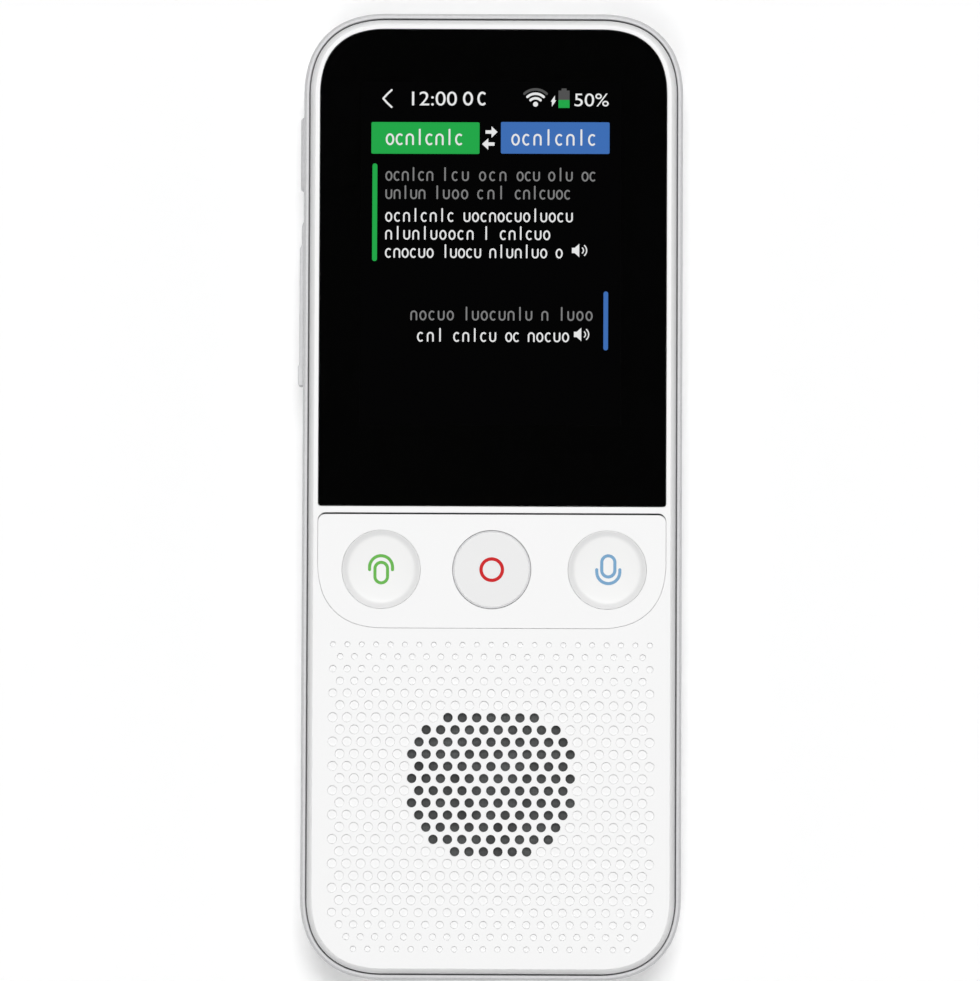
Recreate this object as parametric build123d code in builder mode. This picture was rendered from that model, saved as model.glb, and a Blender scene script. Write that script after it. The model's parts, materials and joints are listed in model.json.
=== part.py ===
from build123d import *

import os
from math import cos, hypot, radians, sin

# Handheld translator: a slab-shaped pocket device. A glass screen fills the upper half of its face,
# with three round keys and a dotted speaker grille below it. A press key and a hinged port cover are
# on its left edge, and a USB-C port is in its bottom edge.
#
# The device lies on its back. X runs across it, Y up its length and Z out of the screen, and the
# origin is the middle of the back face. All sizes are in millimetres.

# ---- Body outline -------------------------------------------------------------------------------
body_width = 54.0
body_length = 137.5
body_thickness = 12.4
corner_radius = 9.65  # the tight arc in the middle of each corner
flank_radius = 14.9  # the easier arcs on either side of it
flank_angle = 17.0  # degrees that each easier arc turns

half_width = body_width / 2
half_length = body_length / 2
front_z = body_thickness

# ---- Shells: a back cover, a side frame and a front cover -----------------------------------------
seam_z = 3.6  # where the back cover meets the side frame
back_wall = 1.5
back_round = 3.0  # the soft edge round the back
back_bands = 3  # the flat bands that it is drawn with
lip_thickness = 0.8  # the back cover's lip, inside the frame
lip_height = 1.0
rim_drop = 0.5  # how far the frame's rim stands below the front face
rim_bevel = 0.35
rim_wall = 0.68
frame_wall = 1.4
ledge_inset = 2.6  # the frame's ledge under the front cover, from the body's edge
ledge_thickness = 1.0
cover_gap = 0.2  # the groove between the rim and the front cover
cover_bevel = 0.72
cover_depth = 2.0
cover_wall = 1.2
shell_clearance = 0.1

rim_z = front_z - rim_drop
cover_inset = rim_wall + cover_gap
cover_z = front_z - cover_depth
frame_ledge_z = cover_z - ledge_thickness

# ---- Snap ridges of the back cover's lip, and their notches in the frame ---------------------------
snap_count = 4  # along each long side
snap_spacing = 29.0
snap_length = 6.0
snap_height = 0.5
snap_reach = 0.3
snap_clearance = 0.12

# ---- Screen ---------------------------------------------------------------------------------------
inlay_inset = 2.3  # the glass and the key plate, from the body's edge
inlay_gap = 0.08
glass_thickness = 0.9
glass_bevel = 0.12
glass_corner = 0.4  # its two lower corners
tape_thickness = 0.15
tape_inset = 0.4
display_air = 0.1  # between the glass and the display
display_side = 4.1  # from the glass's sides to the display's, on average
display_offset = -0.35  # the display's middle, left of the body's middle line
display_drop = 5.1  # from the glass's upper edge to the display's
display_rise = 4.9  # from the glass's lower edge to the display's
display_clearance = 0.2
cell_thickness = 0.8
backlight_thickness = 1.5
pad_thickness = 0.9
pad_margin = 6.0

glass_z = front_z - glass_thickness
glass_seat_z = glass_z - tape_thickness
cell_top_z = glass_z - display_air
cell_z = cell_top_z - cell_thickness
backlight_z = cell_z - backlight_thickness

# ---- Key plate and keys ---------------------------------------------------------------------------
strip_width = 0.86  # of the cover that shows between the glass and the key plate
plate_groove = 0.25  # along the key plate's upper edge
plate_length = 16.12
plate_thickness = 0.8
plate_corner = 1.1  # its two upper corners
left_key_side = 11.3  # from the body's left side to the left key's middle
right_key_side = 10.6  # from its right side to the right key's
key_drop = 7.82  # from the key plate's upper edge to the keys' middle
key_diameter = 10.82
key_gap = 0.2
key_flange = 0.7  # how far the flange that keeps a key in reaches past its cap
key_flange_sides = 8  # its flats keep the key from turning
key_flange_thickness = 0.5
key_flange_gap = 0.06
key_proud = 0.05
key_travel = 0.3
dish_rim = 0.64
dish_depth = 0.32
dish_crown = 0.15
post_size = 2.4
plunger_size = 2.0
plunger_gap = 0.05
plunger_clearance = 0.1
plunger_proud = 0.35
plunger_depth = 0.9
switch_size = 4.5
switch_height = 1.5

plate_z = front_z - plate_thickness
key_radius = key_diameter / 2
key_flange_radius = key_radius + key_flange
flange_top_z = plate_z - key_flange_gap
flange_z = flange_top_z - key_flange_thickness

# ---- Speaker and its grille -----------------------------------------------------------------------
speaker_rise = 27.95  # from the body's lower edge to the speaker's middle
grille_zone = 49.89  # from the body's lower edge to the key plate
grille_drop = 2.37  # from the key plate's lower edge to the first row of dots
grille_foot = 4.0  # from the body's lower edge to below the last row
grille_pitch = 2.044
grille_row_pitch = 1.725
grille_columns = 23  # in every other row, with one fewer in the rows between
grille_hole = 1.3  # across its flats
grille_sides = 6  # each bore is drawn with flats, which keeps the cover light
grille_reach = 12.03  # how far from the speaker's middle the dots go right through
grille_band = 10.4  # how far up and down from it they do
grille_plate = 1.2
speaker_size = 25.8
mesh_thickness = 0.15
gasket_width = 1.5
gasket_thickness = 0.4
basket_depth = 3.6
basket_floor = 1.0
magnet_size = 14.0
magnet_thickness = 1.8
magnet_seat_wall = 1.0
cone_radius = 11.2
cone_sides = 24  # the flats that the cone and its bore are drawn with
cone_paper = 0.25
coil_radius = 6.0
coil_wall = 0.5
coil_height = 1.8
fence_wall = 1.0
fence_clearance = 0.15
fence_depth = 1.55
speaker_clearance = 0.4

grille_back_z = front_z - grille_plate
mesh_z = grille_back_z - mesh_thickness
gasket_z = mesh_z - gasket_thickness
basket_z = gasket_z - basket_depth
magnet_z = basket_z - magnet_thickness
fence_size = speaker_size + 2 * fence_clearance

# ---- Layout along the face: the glass takes the length that the keys and the speaker leave ----------
plate_bottom = grille_zone - half_length
plate_top = plate_bottom + plate_length
key_y = plate_top - key_drop
key_points = [(left_key_side - half_width, key_y), (0, key_y), (half_width - right_key_side, key_y)]
grille_top = plate_bottom - grille_drop
speaker_y = speaker_rise - half_length
glass_top = half_length - inlay_inset
glass_bottom = plate_top + plate_groove + strip_width + inlay_gap
display_top = glass_top - display_drop
display_bottom = glass_bottom + display_rise
display_y = (display_top + display_bottom) / 2
display_length = display_top - display_bottom
display_width = body_width - 2 * (inlay_inset + display_side)

# ---- Main board and what stands on it -------------------------------------------------------------
board_thickness = 0.8
board_inset = 3.2
board_corner = 5.2
board_clearance = 0.3
shield_height = 1.5
processor_can = (26.0, 24.0)
processor_place = (6.5, 30.0)  # from the body's middle line and from its upper edge
radio_can = (30.0, 9.0)
radio_place = (2.0, 11.0)
socket_depth = 13.0
socket_height = 1.4
sim_socket_width = 9.4
card_socket_width = 7.9
socket_gap = 0.4
flex_width = 16.0
flex_thickness = 0.14
flex_connector = (18.0, 2.4)
flex_connector_height = 0.45

board_top_z = backlight_z - pad_thickness
board_z = board_top_z - board_thickness
shield_z = board_z - shield_height

# ---- Battery --------------------------------------------------------------------------------------
battery_width = 38.0
battery_length = 55.0
battery_drop = 9.5  # from the body's upper edge
battery_headroom = 0.4
battery_round = 0.6
guard_thickness = 1.2  # the small protection board at the battery's lower end
guard_width = 30.0
fence_height = 1.6
battery_fence = 1.0
battery_clearance = 0.3
tab_width = 7.0
tab_thickness = 0.2
power_socket = (9.0, 4.0)
power_socket_height = 1.2
power_socket_gap = 2.5

battery_top = half_length - battery_drop
battery_bottom = battery_top - battery_length
battery_top_z = shield_z - battery_headroom
guard_y = battery_bottom - guard_thickness

# ---- Screws ---------------------------------------------------------------------------------------
screw_diameter = 1.6
screw_head_diameter = 2.8
screw_head_height = 0.9
screw_head_sides = 12
screw_length = 3.4
screw_clearance = 0.15
screw_sides = 8  # the shank is drawn with flats, as its bore is
screw_spacing = 32.0
screw_inset = 5.0  # from the body's ends
boss_size = 3.6
lug_size = 4.2

screw_points = [(side * screw_spacing / 2, end * (half_length - screw_inset)) for side in (-1, 1) for end in (-1, 1)]
screw_slot = screw_diameter + 2 * screw_clearance

# ---- Power key, on the left edge ------------------------------------------------------------------
power_drop = 19.9  # from the body's upper edge to the key's middle
power_length = 10.7
power_height = 2.7
power_proud = 0.55
power_bevel = 0.3
power_gap = 0.12
power_flange = 0.6
power_flange_thickness = 0.5
power_travel = 0.3
power_switch = (3.0, 5.0, 1.8)
power_plunger = (1.6, 1.0)
power_plunger_proud = 0.4
power_plunger_depth = 0.8

side_x = -half_width
power_y = half_length - power_drop
power_z = (board_z + board_top_z) / 2
power_flange_x = side_x + frame_wall + power_gap
power_back_x = power_flange_x + power_flange_thickness
power_switch_x = power_back_x + plunger_gap + power_plunger_proud

# ---- Port cover and its hinge, on the left edge ---------------------------------------------------
port_drop = 28.9  # from the body's upper edge to the cover's upper end
port_length = 24.2
port_gap = 0.1
port_thickness = 1.2  # from the body's side inwards
port_proud = 0.62
hinge_depth = 1.3  # from the body's side to the pin
hinge_proud = 0.35
hinge_zone = 4.0  # the lower step at the hinged end
hinge_pin_diameter = 1.0
hinge_running_clearance = 0.05
hinge_press_clearance = 0.01
finger_lip = 3.0
finger_lip_proud = 0.18
finger_scoop = 1.3
finger_scoop_depth = 0.5
housing_inset = 3.6  # how far the frame's housing behind the cover reaches in
housing_wall = 0.8
housing_gap = 0.2  # over the back cover's lip
seal_thickness = 0.9
seal_margin = 0.35
seal_wall = 0.7

port_top = half_length - port_drop
port_bottom = port_top - port_length
housing_z = seam_z + lip_height + housing_gap
port_low_z = housing_z + housing_wall
port_height = cover_z - housing_wall - port_low_z
port_z = port_low_z + port_height / 2
barrel_radius = hinge_depth + hinge_proud
hinge_x = side_x + hinge_depth
hinge_y = port_top - barrel_radius
housing_x = side_x + housing_inset
port_inner_x = side_x + port_thickness
slot_top = hinge_y - barrel_radius - housing_wall
slot_bottom = port_bottom + housing_wall

# ---- USB-C port and microphones, in the ends ------------------------------------------------------
usb_width = 8.94
usb_height = 3.26
usb_length = 7.3
usb_wall = 0.3
usb_recess = 0.4  # the port's mouth, behind the body's end
usb_sink = 0.6  # how far the port's middle sits below the board's
usb_clearance = 0.12
usb_tongue_width = 6.7
usb_tongue_thickness = 0.7
usb_tongue_length = 4.6
usb_back = 1.4
mic_hole = 1.0
mic_sides = 12
mic_size = (3.6, 2.8, 1.1)
mic_offset = 10.5  # the lower microphone, right of the port
boot_width = 3.0
boot_height = 2.0
boot_gap = 0.1

usb_z = (board_z + board_top_z) / 2 - usb_sink
usb_front_y = -half_length + usb_recess
usb_back_y = usb_front_y + usb_length
mic_wall = half_length - frame_wall - boot_gap
mic_y = half_length - board_inset - 0.3
boot_z = board_z - boot_height / 2

# ---- Antenna --------------------------------------------------------------------------------------
antenna_width = 30.0
antenna_strip = 3.4
antenna_thickness = 0.15
antenna_gap = 1.2

UPRIGHT = (Align.CENTER, Align.CENTER, Align.MIN)

os.makedirs("parts", exist_ok=True)


def save(piece, name):
    """Labels a finished piece and writes it as parts/NAME.step."""
    piece.part.label = name
    export_step(piece.part, f"parts/{name}.step")


def soft_rectangle(width, length, tight, easy):
    """A rectangle whose corners are each three tangent arcs: an easy, a tight and an easy one."""
    turn = radians(flank_angle)
    reach = easy - (easy - tight) * (cos(turn) - sin(turn))
    with BuildSketch() as shape:
        with BuildLine():
            end = Line((0, length / 2), (width / 2 - reach, length / 2))
            upper = JernArc(end @ 1, (1, 0), easy, -flank_angle)
            middle = JernArc(upper @ 1, upper % 1, tight, 2 * flank_angle - 90)
            lower = JernArc(middle @ 1, middle % 1, easy, -flank_angle)
            Line(lower @ 1, (width / 2, 0))
            mirror(about=Plane.YZ)
            mirror(about=Plane.XZ)
        make_face()
    return shape.sketch


def body_outline(inset):
    """The body's outline, drawn inset from its edge."""
    return soft_rectangle(
        body_width - 2 * inset, body_length - 2 * inset, corner_radius - inset, flank_radius - inset
    )


def glass_outline(gap):
    """The screen glass, grown all round by gap: the body's own corners above, small ones below."""
    with BuildSketch() as shape:
        add(body_outline(inlay_inset - gap))
        with Locations((0, glass_bottom - gap)):
            Rectangle(body_width, body_length, align=(Align.CENTER, Align.MIN), mode=Mode.INTERSECT)
        fillet(shape.vertices().group_by(Axis.Y)[0], glass_corner + gap)
    return shape.sketch


def plate_outline(gap, groove):
    """The key plate, grown by gap and at its upper edge by groove: the body's corners are below."""
    inset = inlay_inset - gap
    top = plate_top + groove
    length = top - plate_bottom + gap
    with BuildSketch() as shape:
        with Locations((0, top)):
            add(soft_rectangle(body_width - 2 * inset, 2 * length, corner_radius - inset, flank_radius - inset))
            Rectangle(body_width, length, align=(Align.CENTER, Align.MAX), mode=Mode.INTERSECT)
        fillet(shape.vertices().group_by(Axis.Y)[-1], plate_corner + gap)
    return shape.sketch


def grille_holes():
    """Centres of the sound holes: the dots of the staggered grid that lie over the speaker."""
    holes = []
    for row in range(int((grille_top + half_length - grille_foot) / grille_row_pitch) + 1):
        y = grille_top - row * grille_row_pitch
        columns = grille_columns - row % 2
        for column in range(columns):
            x = (column - (columns - 1) / 2) * grille_pitch
            if hypot(x, y - speaker_y) < grille_reach and abs(y - speaker_y) < grille_band:
                holes.append((x, y))
    return holes


def flange_outline(reach):
    """The outline of a key's flange, with flats across and along the device."""
    with BuildSketch() as shape:
        RegularPolygon(reach, key_flange_sides, major_radius=False, rotation=180 / key_flange_sides)
    return shape.sketch


def screw_slots(width, reach):
    """A slot round each screw, open towards the middle of the device or, with a reach, its ends."""
    with BuildSketch() as slots:
        for x, y in screw_points:
            end = 1 if y * reach > 0 else -1
            with Locations((x, y + end * abs(reach) / 2 - end * width / 4)):
                Rectangle(width, abs(reach) + width / 2)
    return slots.sketch


# ---- Back cover: a tray with a soft edge, a lip with snap ridges, a battery fence and a seat for the
# ---- speaker's magnet
lip_inset = frame_wall + shell_clearance
with BuildPart() as rear_cover:
    for band in range(back_bands + 1):
        turn = radians(90 * band / back_bands)
        with BuildSketch(Plane.XY.offset(back_round * (1 - cos(turn)))):
            add(body_outline(back_round * (1 - sin(turn))))
    loft(ruled=True)
    with BuildSketch(Plane.XY.offset(back_round)):
        add(body_outline(0))
    extrude(amount=seam_z - back_round)
    with BuildSketch(Plane.XY.offset(seam_z)):
        add(body_outline(lip_inset))
    extrude(amount=lip_height)
    with BuildSketch(Plane.XY.offset(back_wall)):
        add(body_outline(lip_inset + lip_thickness))
    extrude(amount=seam_z + lip_height - back_wall, mode=Mode.SUBTRACT)
    with BuildSketch(Plane.XY.offset(seam_z + (lip_height - snap_height) / 2)):
        with GridLocations(2 * (half_width - lip_inset), snap_spacing, 2, snap_count):
            Rectangle(2 * snap_reach, snap_length)
    extrude(amount=snap_height)
    with BuildSketch(Plane.XY.offset(back_wall)):
        with Locations((0, (battery_top + guard_y) / 2)):
            length = battery_top - guard_y + 2 * battery_clearance
            width = battery_width + 2 * battery_clearance
            Rectangle(width + 2 * battery_fence, length + 2 * battery_fence)
            Rectangle(width, length, mode=Mode.SUBTRACT)
            Rectangle(width / 2, body_length, mode=Mode.SUBTRACT)
    extrude(amount=fence_height)
    with BuildSketch(Plane.XY.offset(back_wall)):
        with Locations((0, speaker_y)):
            Rectangle(magnet_size, magnet_size)
            inner = magnet_size - 2 * magnet_seat_wall
            Rectangle(inner, inner, mode=Mode.SUBTRACT)
    extrude(amount=magnet_z - back_wall)
save(rear_cover, "rear_cover")

# ---- Side frame: a ring with a rim round the front cover, a ledge under it, four screw lugs and a
# ---- housing behind the port cover
with BuildPart() as side_frame:
    with BuildSketch(Plane.XY.offset(seam_z)):
        add(body_outline(0))
    extrude(amount=rim_z - seam_z)
    chamfer(side_frame.faces().sort_by(Axis.Z)[-1].edges(), rim_bevel)
    with BuildSketch(Plane.XY.offset(seam_z)):
        add(body_outline(frame_wall))
    extrude(amount=frame_ledge_z - seam_z, mode=Mode.SUBTRACT)
    with BuildSketch(Plane.XY.offset(frame_ledge_z)):
        add(body_outline(ledge_inset))
    extrude(amount=ledge_thickness, mode=Mode.SUBTRACT)
    with BuildSketch(Plane.XY.offset(cover_z)):
        add(body_outline(rim_wall))
    extrude(amount=cover_depth, mode=Mode.SUBTRACT)
    # slotted lugs reach in from the ends, under the ledge, and rest on the main board
    with BuildSketch(Plane.XY.offset(board_top_z)):
        for x, y in screw_points:
            with Locations((x, (y + (half_length if y > 0 else -half_length)) / 2)):
                Rectangle(lug_size, screw_inset + lug_size)
        add(body_outline(frame_wall / 2), mode=Mode.INTERSECT)
        add(screw_slots(screw_slot, -lug_size), mode=Mode.SUBTRACT)
    extrude(amount=frame_ledge_z - board_top_z)
    # housing behind the port cover, with its opening, the card slot and the pin's bore
    with BuildSketch(Plane.XY.offset(housing_z)):
        with Locations((side_x + frame_wall / 2, (port_top + port_bottom) / 2)):
            Rectangle(
                housing_inset - frame_wall / 2,
                port_length + 2 * housing_wall,
                align=(Align.MIN, Align.CENTER),
            )
    extrude(amount=cover_z - housing_z)
    with BuildSketch(Plane.XY.offset(port_low_z)):
        with Locations((side_x, port_top + port_gap)):
            Rectangle(
                2 * (port_thickness + port_gap), port_length + 2 * port_gap, align=(Align.CENTER, Align.MAX)
            )
        with Locations((hinge_x, hinge_y)):
            Circle(barrel_radius + port_gap)
        with Locations((side_x, slot_top)):
            Rectangle(2 * housing_inset, slot_top - slot_bottom, align=(Align.CENTER, Align.MAX))
        with Locations((side_x, port_bottom)):
            Rectangle(2 * finger_scoop_depth, 2 * finger_scoop)
    extrude(amount=port_height, mode=Mode.SUBTRACT)
    with BuildSketch(Plane.XY.offset(housing_z)):
        with Locations((hinge_x, hinge_y)):
            Circle(hinge_pin_diameter / 2 + hinge_press_clearance)
    extrude(amount=port_height + 1.5 * housing_wall, mode=Mode.SUBTRACT)
    # slot of the power key
    with BuildSketch(Plane.YZ.offset(side_x)):
        with Locations((power_y, power_z)):
            SlotOverall(power_length + 2 * power_gap, power_height + 2 * power_gap)
    extrude(amount=frame_wall, mode=Mode.SUBTRACT)
    # mouth of the USB-C port, and the microphone holes
    with BuildSketch(Plane.XZ.offset(half_length)):
        with Locations((0, usb_z)):
            SlotOverall(usb_width + 2 * usb_clearance, usb_height + 2 * usb_clearance)
        with Locations((mic_offset, boot_z)):
            RegularPolygon(mic_hole / 2, mic_sides)
    extrude(amount=-frame_wall, mode=Mode.SUBTRACT)
    with BuildSketch(Plane.XZ.offset(-half_length)):
        with Locations((0, boot_z)):
            RegularPolygon(mic_hole / 2, mic_sides)
    extrude(amount=frame_wall, mode=Mode.SUBTRACT)
    # notches for the back cover's snap ridges
    with BuildSketch(Plane.XY.offset(seam_z + (lip_height - snap_height) / 2 - snap_clearance)):
        with GridLocations(2 * (half_width - frame_wall), snap_spacing, 2, snap_count):
            Rectangle(2 * snap_reach, snap_length + 2 * snap_clearance)
    extrude(amount=snap_height + 2 * snap_clearance, mode=Mode.SUBTRACT)
save(side_frame, "side_frame")

# ---- Front cover: recesses for the glass and the key plate, key wells, the grille with its sound
# ---- holes, a fence round the speaker and the screw bosses
with BuildPart() as front_cover:
    with BuildSketch(Plane.XY.offset(cover_z)):
        add(body_outline(cover_inset))
    extrude(amount=cover_depth)
    chamfer(front_cover.faces().sort_by(Axis.Z)[-1].edges(), cover_bevel)
    with BuildSketch(Plane.XY.offset(glass_seat_z)):
        add(glass_outline(inlay_gap))
    extrude(amount=front_z - glass_seat_z, mode=Mode.SUBTRACT)
    with BuildSketch(Plane.XY.offset(plate_z)):
        add(plate_outline(inlay_gap, plate_groove))
    extrude(amount=plate_thickness, mode=Mode.SUBTRACT)
    with BuildSketch(Plane.XY.offset(cover_z)):
        with Locations((display_offset, display_y)):
            Rectangle(display_width + 2 * display_clearance, display_length + 2 * display_clearance)
    extrude(amount=cover_depth, mode=Mode.SUBTRACT)
    with BuildSketch(Plane.XY.offset(cover_z)):
        add(body_outline(cover_inset + cover_wall))
        with Locations((0, plate_bottom)):
            Rectangle(body_width, body_length, align=(Align.CENTER, Align.MAX), mode=Mode.INTERSECT)
    extrude(amount=grille_back_z - cover_z, mode=Mode.SUBTRACT)
    with BuildSketch(Plane.XY.offset(cover_z)):
        with Locations(*key_points):
            add(flange_outline(key_flange_radius + key_gap))
    extrude(amount=cover_depth, mode=Mode.SUBTRACT)
    with BuildSketch(Plane.XY.offset(grille_back_z - fence_depth)):
        with Locations((0, speaker_y)):
            Rectangle(fence_size + 2 * fence_wall, fence_size + 2 * fence_wall)
            Rectangle(fence_size, fence_size, mode=Mode.SUBTRACT)
    extrude(amount=fence_depth)
    with BuildSketch(Plane.XY.offset(frame_ledge_z)):
        with Locations(*screw_points):
            Rectangle(boss_size, boss_size)
    extrude(amount=grille_back_z - frame_ledge_z)
    with BuildSketch(Plane.XY.offset(frame_ledge_z)):
        with Locations(*screw_points):
            RegularPolygon(screw_diameter / 2, screw_sides)
    extrude(amount=board_top_z + screw_length - board_thickness - frame_ledge_z, mode=Mode.SUBTRACT)
    with BuildSketch(Plane.XY.offset(grille_back_z)):
        with Locations(*grille_holes()):
            RegularPolygon(grille_hole / 2, grille_sides, major_radius=False, rotation=180 / grille_sides)
    extrude(amount=grille_plate, mode=Mode.SUBTRACT)
save(front_cover, "front_cover")

# ---- Screen glass and the tape that holds it ------------------------------------------------------
with BuildPart() as screen_glass:
    with BuildSketch(Plane.XY.offset(glass_z)):
        add(glass_outline(0))
    extrude(amount=glass_thickness)
    chamfer(screen_glass.faces().sort_by(Axis.Z)[-1].edges(), glass_bevel)
save(screen_glass, "screen_glass")

with BuildPart() as glass_tape:
    with BuildSketch(Plane.XY.offset(glass_seat_z)):
        add(body_outline(inlay_inset + tape_inset))
        with Locations((0, glass_bottom + tape_inset)):
            Rectangle(body_width, body_length, align=(Align.CENTER, Align.MIN), mode=Mode.INTERSECT)
        with Locations((display_offset, display_y)):
            Rectangle(
                display_width + 2 * display_clearance,
                display_length + 2 * display_clearance,
                mode=Mode.SUBTRACT,
            )
    extrude(amount=tape_thickness)
save(glass_tape, "glass_tape")

# ---- Display: the cell, its backlight, the foam pad under it and the flat cable to the board -------
with BuildPart() as display_cell:
    with BuildSketch(Plane.XY.offset(cell_z)):
        with Locations((display_offset, display_y)):
            Rectangle(display_width, display_length)
    extrude(amount=cell_thickness)
save(display_cell, "display_cell")

with BuildPart() as display_backlight:
    with BuildSketch(Plane.XY.offset(backlight_z)):
        with Locations((display_offset, display_y)):
            Rectangle(display_width, display_length)
    extrude(amount=backlight_thickness)
save(display_backlight, "display_backlight")

with BuildPart() as display_pad:
    with BuildSketch(Plane.XY.offset(board_top_z)):
        with Locations((display_offset, display_y + pad_margin / 2)):
            Rectangle(display_width - 2 * pad_margin, display_length - pad_margin)
            Rectangle(display_width - 4 * pad_margin, display_length - 3 * pad_margin, mode=Mode.SUBTRACT)
    extrude(amount=pad_thickness)
save(display_pad, "display_pad")

connector_top_z = board_top_z + flex_connector_height
with BuildPart() as display_flex:
    with BuildSketch(Plane.YZ.offset(display_offset - flex_width / 2)):
        with BuildLine():
            Polyline(
                (display_bottom + pad_margin / 2, backlight_z),
                (display_bottom + pad_margin / 2, backlight_z - flex_thickness),
                (display_bottom + flex_thickness, backlight_z - flex_thickness),
                (display_bottom - flex_connector[1] / 4, connector_top_z),
                (display_bottom - flex_connector[1], connector_top_z),
                (display_bottom - flex_connector[1], connector_top_z + flex_thickness),
                (display_bottom - flex_connector[1] / 4, connector_top_z + flex_thickness),
                (display_bottom, backlight_z),
                close=True,
            )
        make_face()
    extrude(amount=flex_width)
save(display_flex, "display_flex")

with BuildPart() as flex_socket:
    with BuildSketch(Plane.XY.offset(board_top_z)):
        with Locations((display_offset, display_bottom - flex_connector[1])):
            Rectangle(*flex_connector)
    extrude(amount=flex_connector_height)
save(flex_socket, "flex_socket")

# ---- Key plate ------------------------------------------------------------------------------------
with BuildPart() as key_plate:
    with BuildSketch(Plane.XY.offset(plate_z)):
        add(plate_outline(0, 0))
        with Locations(*key_points):
            Circle(key_radius + key_gap, mode=Mode.SUBTRACT)
    extrude(amount=plate_thickness)
save(key_plate, "key_plate")

# ---- Keys, each with the plunger that it presses and the switch under it ---------------------------
plunger_top_z = board_top_z + switch_height + plunger_proud
post_z = plunger_top_z + plunger_gap


def build_key(x, dished):
    """A round cap on a flange and a post. A dished cap has a bevelled rim round a shallow hollow."""
    top_z = front_z + key_proud
    foot_radius = key_radius - dish_rim
    foot_z = top_z - dish_depth
    with BuildPart() as key:
        with BuildSketch(Plane((x, key_y, post_z))):
            Rectangle(post_size, post_size)
        extrude(amount=flange_z - post_z)
        with BuildSketch(Plane((x, key_y, flange_z))):
            add(flange_outline(key_flange_radius))
        extrude(amount=key_flange_thickness)
        with BuildSketch(Plane((x, key_y, flange_top_z))):
            Circle(key_radius)
        extrude(amount=top_z - flange_top_z)
        if dished:
            with Locations((x, key_y, foot_z)):
                Cone(foot_radius, key_radius, dish_depth, align=UPRIGHT, mode=Mode.SUBTRACT)
            add(build_hollow(x, foot_radius, foot_z), mode=Mode.SUBTRACT)
    return key


def build_hollow(x, radius, z):
    """The lens-shaped hollow in a dished cap: the lowest part of a large ball, cut off at z."""
    ball = (radius**2 + dish_crown**2) / (2 * dish_crown)
    with BuildPart() as hollow:
        with Locations((x, key_y, z - dish_crown)):
            Cylinder(radius, dish_crown, align=UPRIGHT)
        with Locations((x, key_y, z - dish_crown + ball)):
            Sphere(ball, rotation=(90, 0, 0), mode=Mode.INTERSECT)
    return hollow.part


def build_plunger(x):
    """The switch's plunger, which moves with the key above it."""
    with BuildPart() as plunger:
        with BuildSketch(Plane((x, key_y, plunger_top_z - plunger_depth))):
            Rectangle(plunger_size, plunger_size)
        extrude(amount=plunger_depth)
    return plunger


def build_switch(x):
    """The switch's body on the main board, with a well that the plunger runs in."""
    with BuildPart() as switch:
        with BuildSketch(Plane((x, key_y, board_top_z))):
            Rectangle(switch_size, switch_size)
        extrude(amount=switch_height)
        with BuildSketch(Plane((x, key_y, plunger_top_z - plunger_depth - key_travel - plunger_clearance))):
            Rectangle(plunger_size + 2 * plunger_clearance, plunger_size + 2 * plunger_clearance)
        extrude(amount=switch_height, mode=Mode.SUBTRACT)
    return switch


for name, (x, y) in zip(("left", "record", "right"), key_points):
    save(build_key(x, dished=name != "record"), f"{name}_key")
    save(build_plunger(x), f"{name}_plunger")
    save(build_switch(x), f"{name}_switch")

# ---- Speaker: mesh and gasket behind the grille, then the basket, the flat cone with its coil, and
# ---- the magnet
with BuildPart() as dust_mesh:
    with BuildSketch(Plane((0, speaker_y, mesh_z))):
        Rectangle(speaker_size, speaker_size)
    extrude(amount=mesh_thickness)
save(dust_mesh, "dust_mesh")

with BuildPart() as speaker_gasket:
    with BuildSketch(Plane((0, speaker_y, gasket_z))):
        Rectangle(speaker_size, speaker_size)
        Rectangle(speaker_size - 2 * gasket_width, speaker_size - 2 * gasket_width, mode=Mode.SUBTRACT)
    extrude(amount=gasket_thickness)
save(speaker_gasket, "speaker_gasket")

with BuildPart() as speaker_basket:
    with BuildSketch(Plane((0, speaker_y, basket_z))):
        Rectangle(speaker_size, speaker_size)
    extrude(amount=basket_depth)
    with BuildSketch(Plane((0, speaker_y, basket_z + basket_floor))):
        RegularPolygon(cone_radius, cone_sides)
    extrude(amount=basket_depth, mode=Mode.SUBTRACT)
save(speaker_basket, "speaker_basket")

with BuildPart() as speaker_cone:
    with BuildSketch(Plane((0, speaker_y, gasket_z - cone_paper))):
        RegularPolygon(cone_radius, cone_sides)
    extrude(amount=cone_paper)
    with BuildSketch(Plane((0, speaker_y, gasket_z - cone_paper))):
        RegularPolygon(coil_radius, cone_sides)
        RegularPolygon(coil_radius - coil_wall, cone_sides, mode=Mode.SUBTRACT)
    extrude(amount=-coil_height)
save(speaker_cone, "speaker_cone")

with BuildPart() as speaker_magnet:
    with BuildSketch(Plane((0, speaker_y, magnet_z))):
        Rectangle(magnet_size, magnet_size)
    extrude(amount=magnet_thickness)
save(speaker_magnet, "speaker_magnet")

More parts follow.
